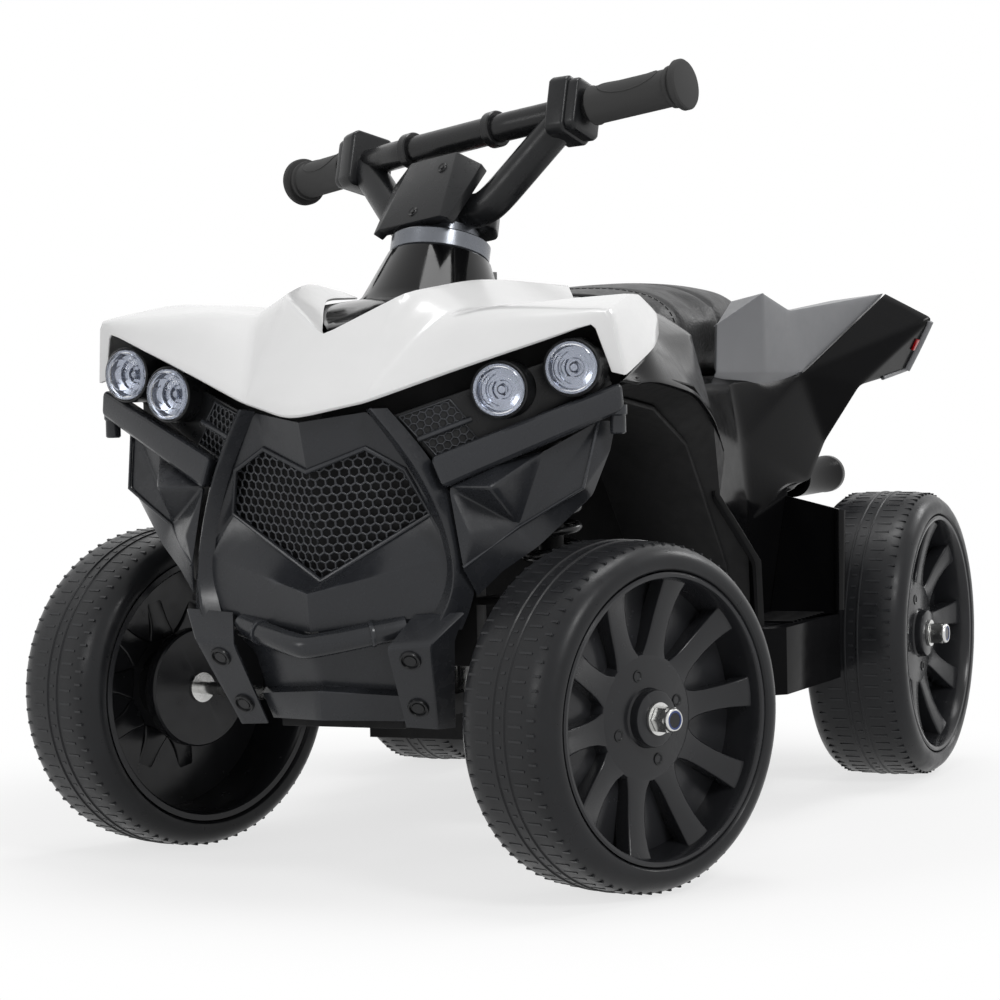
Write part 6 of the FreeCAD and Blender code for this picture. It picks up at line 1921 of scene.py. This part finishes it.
@dataclass
class Seat:
    """The padded seat: a cushion blown up by a short cloth run, with piping and stitches."""

    base: float = 275.4
    voxel: float = 5.0
    pressure: float = 4.0
    frames: int = 20
    reach: float = 6.0
    shrink: float = 0.965
    held_height: float = 6.0
    stiffness: float = 20.0
    channels: tuple[float, float] = (133.0, 73.0)
    channel_depth: float = 2.2
    channel_width: float = 3.2
    channel_foot: float = 12.0
    piping_radius: float = 1.7
    piping_lift: float = 0.5
    stitch_lift: float = 0.1
    stations: list[tuple[float, ...]] = table([
        (196, 40, 34, 318, 326), (178, 58, 52, 322, 331), (140, 70, 64, 325, 335), (126, 72, 66, 325, 335),
        (80, 77, 70, 327, 337), (66, 77, 70, 328, 338), (22, 76, 68, 328, 338), (3, 69, 60, 321, 330)])

    def ring(self, station: tuple[float, ...]) -> list[Vector]:
        """One cross section, from the left foot over the top to the right foot.

        Args:
            station: its place, half widths and heights.

        Returns:
            Points in millimetres.
        """
        x, half, base_half, shoulder, top = station
        half, base_half = half * self.shrink, base_half * self.shrink
        middle = (self.base + shoulder) / 2
        side = [(base_half, self.base), (half, middle - 8), (half, middle + 6), (half * 0.93, shoulder - 3),
                (half * 0.74, shoulder + (top - shoulder) * 0.45), (half * 0.4, top - 1.5), (0.0, top - 0.8)]
        left = [Vector((REAR_DATUM.x + x, y, z)) for y, z in side]
        return left + [on_side(p, Side.RIGHT) for p in reversed(left[:-1])]

    def blank(self) -> Thing:
        """The closed loft before it is filled.

        Returns:
            The piece.
        """
        rings = [self.ring(s) for s in self.stations]
        points = [p for ring in rings for p in ring]
        count = len(rings[0])
        faces: Faces = []
        for i in range(len(rings) - 1):
            faces += band(i * count, (i + 1) * count, count)
        last = (len(rings) - 1) * count
        faces += [tuple(range(count)), tuple(range(last, last + count))]
        return mesh_of("seat_blank", points, faces)

    def cushion(self) -> Thing:
        """The blank remeshed, blown up by the cloth run and smoothed.

        Returns:
            The piece.
        """
        blank = self.blank()
        remesh = blank.modifiers.new("remesh", "REMESH")
        remesh.mode = "VOXEL"
        remesh.voxel_size = self.voxel * MM
        smooth = blank.modifiers.new("smooth", "SMOOTH")
        smooth.factor = 0.5
        smooth.iterations = 6
        thing = baked(blank)
        thing = self.filled(thing)
        finer = thing.modifiers.new("finer", "SUBSURF")
        finer.levels = 1
        finer.render_levels = 1
        thing = baked(thing)
        thing.name = "seat_dress"
        edit(thing, self.sew)
        return shade(thing, 60.0)

    def filled(self, thing: Thing) -> Thing:
        """Blows the cushion up and caps how far each point moves.

        Args:
            thing: the object.

        Returns:
            The piece.
        """
        start = [v.co.copy() for v in thing.data.vertices]
        held = thing.vertex_groups.new(name="held")
        low = (self.base + self.held_height) * MM
        held.add([v.index for v in thing.data.vertices if v.co.z < low], 1.0, "REPLACE")
        cloth = thing.modifiers.new("cloth", "CLOTH")
        cloth.settings.use_pressure = True
        cloth.settings.uniform_pressure_force = self.pressure
        cloth.settings.vertex_group_mass = "held"
        cloth.settings.effector_weights.gravity = 0.0
        cloth.settings.tension_stiffness = self.stiffness
        cloth.point_cache.frame_start = 1
        cloth.point_cache.frame_end = self.frames
        scene = bpy.context.scene
        for frame in range(1, self.frames + 1):
            scene.frame_set(frame)
        thing = baked(thing)
        scene.frame_set(1)
        limit = self.reach * MM
        for vertex, place in zip(thing.data.vertices, start):
            shift = vertex.co - place
            if shift.length > limit:
                vertex.co = place + shift.normalized() * limit
        return thing

    def sew(self, bm: BMesh) -> None:
        """Presses the two sewn channels into the cover, above its foot.

        Args:
            bm: the open mesh.
        """
        for vertex in bm.verts:
            x = vertex.co.x / MM - REAR_DATUM.x
            if vertex.co.z / MM < self.base + self.channel_foot:
                continue
            shares = [math.exp(-((x - line) / self.channel_width) ** 2) for line in self.channels]
            dip = sum(self.channel_depth * share for share in shares)
            vertex.co -= vertex.normal * dip * MM

    def laid(self, cover: BVHTree, index: int, lift: float) -> list[Vector]:
        """The outline of one cross section, laid on the cover and lifted a little off it.

        Args:
            cover: the cushion's faces.
            index: which cross section.
            lift: millimetres.

        Returns:
            Points in millimetres.
        """
        ring = self.ring(self.stations[index])
        finer = [a.lerp(b, k / 4) for a, b in zip(ring, ring[1:]) for k in range(4)]
        hits = [cover.find_nearest(point * MM) for point in (*finer, ring[-1])]
        return [spot / MM + normal * lift for spot, normal, *_ in hits]

    def dress(self, bench: Bench) -> None:
        """Hands in the cushion, its piping and its stitches.

        Args:
            bench: the shared workbench.
        """
        thing = self.cushion()
        places = [v.co for v in thing.data.vertices]
        cover = BVHTree.FromPolygons(places, [p.vertices for p in thing.data.polygons])
        piping = tube("seat_piping", self.laid(cover, 1, self.piping_lift), self.piping_radius)
        line = self.laid(cover, 2, self.stitch_lift)
        cushion = bench.hand_in(thing, "frame", LEATHER, "seat")
        bench.hand_in(piping, "frame", LEATHER)
        threads = bench.stitches("seat_stitches", SATIN, line, spacing=4.6, long=3.0, thick=0.8)
        bench.hand_in(threads, "frame", SATIN)


class Chassis:
    """The working parts under the shells, which stay as the CAD has them."""

    PAINTED = {
        STEEL: ("left_knuckle", "right_knuckle", "left_axle_fasteners", "right_axle_fasteners", "rear_axle",
                "rear_axle_fasteners", "tie_rod", "steering_column", "motor"),
        NYLON: ("drive_gear", "compound_gear", "motor_pinion"),
        BATTERY: ("battery", "control_box"),
        ROUGH: ("body_frame", "gearbox_inner_case", "gearbox_outer_case"),
        BAR: ("front_springs",)}
    ROUNDED = {"chassis_pan": (ROUGH, 2.0, "frame"), "front_beam": (ROUGH, 0.8, "frame"),
               "foot_pedal": (SATIN, 0.8, "pedal"), "switch_panel": (SATIN, 1.2, "frame"),
               "power_switch": (RED_ROCKER, 0.6, "power_rocker"),
               "direction_switch": (BLACK_ROCKER, 0.6, "direction_rocker")}

    def dress(self, bench: Bench) -> None:
        """Paints the working parts and rounds those that show.

        Args:
            bench: the shared workbench.
        """
        for finish, nodes in self.PAINTED.items():
            for node in nodes:
                bench.paint(node, finish)
        for node, (finish, width, body) in self.ROUNDED.items():
            bench.hand_in(bench.softened(node, width, node + "_dress"), body, finish, node)


@dataclass
class Studio:
    """Camera, lights, floor and backdrop."""

    focal: float = 121.036
    sensor: float = 36.0
    place: Vector = table(Vector((1966.591, 823.488, 309.791)))
    right: Vector = table(Vector((-0.391689, 0.919849, -0.0213955)))
    down: Vector = table(Vector((0.0550765, 0.000228, -0.998482)))
    forward: Vector = table(Vector((-0.918448, -0.392273, -0.0507514)))
    world_light: float = 0.3
    floor_reach: float = 12.0
    floor_fade: tuple[float, float] = (0.3, 0.55)
    floor_glow: tuple[float, float] = (0.72, 1.0)
    lamps: dict[str, tuple] = table({
        "key": ((1.5, 1.9, 2.1), (0.0, 0.05, 0.2), 0.8, 27.0),
        "fill": ((2.2, -1.3, 1.2), (0.1, 0.0, 0.2), 0.9, 10.0),
        "top": ((-0.3, 0.1, 2.4), (0.0, 0.0, 0.2), 1.0, 18.0),
        "back": ((-1.9, 1.2, 1.6), (0.0, 0.0, 0.2), 0.7, 11.0)})

    def camera(self) -> None:
        """Sets the camera at the photograph's place."""
        data = bpy.data.cameras.new("camera")
        data.lens = self.focal
        data.sensor_width = self.sensor
        data.clip_end = 50.0
        thing = new_object("camera", data)
        turn = Matrix((self.right, -self.down, -self.forward)).transposed()
        thing.matrix_world = placement(self.place, turn)
        bpy.context.scene.camera = thing

    def lights(self) -> None:
        """Soft boxes round the bike."""
        for name, (place, aim, size, power) in self.lamps.items():
            data = bpy.data.lights.new(name, "AREA")
            data.shape = "DISK"
            data.size = size
            data.energy = power
            thing = new_object(name, data)
            run = Vector(aim) - Vector(place)
            thing.matrix_world = Matrix.Translation(place) @ run.to_track_quat("-Z", "Y").to_matrix().to_4x4()

    def seen(self, tree: Tree) -> Socket:
        """One for rays from the camera, a mirror or a lens, and zero for the rest.

        Args:
            tree: the node tree.

        Returns:
            The output.
        """
        path = tree.add("ShaderNodeLightPath").outputs
        total = path["Is Camera Ray"]
        for name in ("Is Glossy Ray", "Is Transmission Ray"):
            total = tree.add("ShaderNodeMath", {0: total, 1: path[name]}, operation="MAXIMUM").outputs[0]
        return total

    def world(self) -> None:
        """White to the eye, and an even soft light to the object."""
        world = bpy.data.worlds.new("studio")
        world.use_nodes = True
        tree = Tree(world.node_tree)
        shares = {0: self.seen(tree)}
        for slot, strength in ((1, self.world_light), (2, 1.0)):
            given = {"Color": (1.0, 1.0, 1.0, 1.0), "Strength": strength}
            shares[slot] = tree.add("ShaderNodeBackground", given).outputs[0]
        mix = tree.add("ShaderNodeMixShader", shares)
        tree.add("ShaderNodeOutputWorld", {"Surface": mix.outputs[0]})
        bpy.context.scene.world = world

    def floor(self) -> None:
        """A pale floor that keeps the shadow and fades to white away from the bike."""
        mesh = bpy.data.meshes.new("floor")
        reach = self.floor_reach
        corners = [(-reach, -reach, 0), (reach, -reach, 0), (reach, reach, 0), (-reach, reach, 0)]
        mesh.from_pydata(corners, [], [(0, 1, 2, 3)])
        thing = new_object("floor", mesh)
        graph = Graph("floor_pale")
        graph.constant(Base_Color=(0.93, 0.93, 0.93, 1.0), Roughness=0.6, Specular_IOR_Level=0.2)
        glow = graph.add("ShaderNodeEmission", {"Strength": 1.0}).outputs[0]
        far = graph.add("ShaderNodeVectorMath", {0: graph.coords}, operation="LENGTH").outputs["Value"]
        (near, away), (low, high) = self.floor_fade, self.floor_glow
        ends = {"Value": far, "From Min": near, "From Max": away, "To Min": low, "To Max": high}
        fade = graph.add("ShaderNodeMapRange", ends, interpolation_type="SMOOTHSTEP").outputs["Result"]
        share = graph.add("ShaderNodeMath", {0: fade, 1: self.seen(graph)}, operation="MULTIPLY").outputs[0]
        mix = graph.add("ShaderNodeMixShader", {0: share, 1: graph.shader.outputs[0], 2: glow})
        graph.tree.links.new(mix.outputs[0], graph.output.inputs["Surface"])
        mesh.materials.append(graph.material)

    def dress(self) -> None:
        """Sets the whole studio."""
        self.camera()
        self.lights()
        self.world()
        self.floor()
        bpy.context.scene.view_settings.view_transform = "Standard"


def main() -> None:
    """Builds the sub-assemblies in order."""
    logging.basicConfig(level=logging.INFO, format="%(message)s")
    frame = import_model()
    Studio().dress()
    bench = Bench(frame)
    for part in (*wheels(), Handlebar(), Cowl(), Headlamps(), Bumper(), Flanks(), Tail(), Seat(), Chassis()):
        part.dress(bench)


if __name__ == "__main__":
    main()
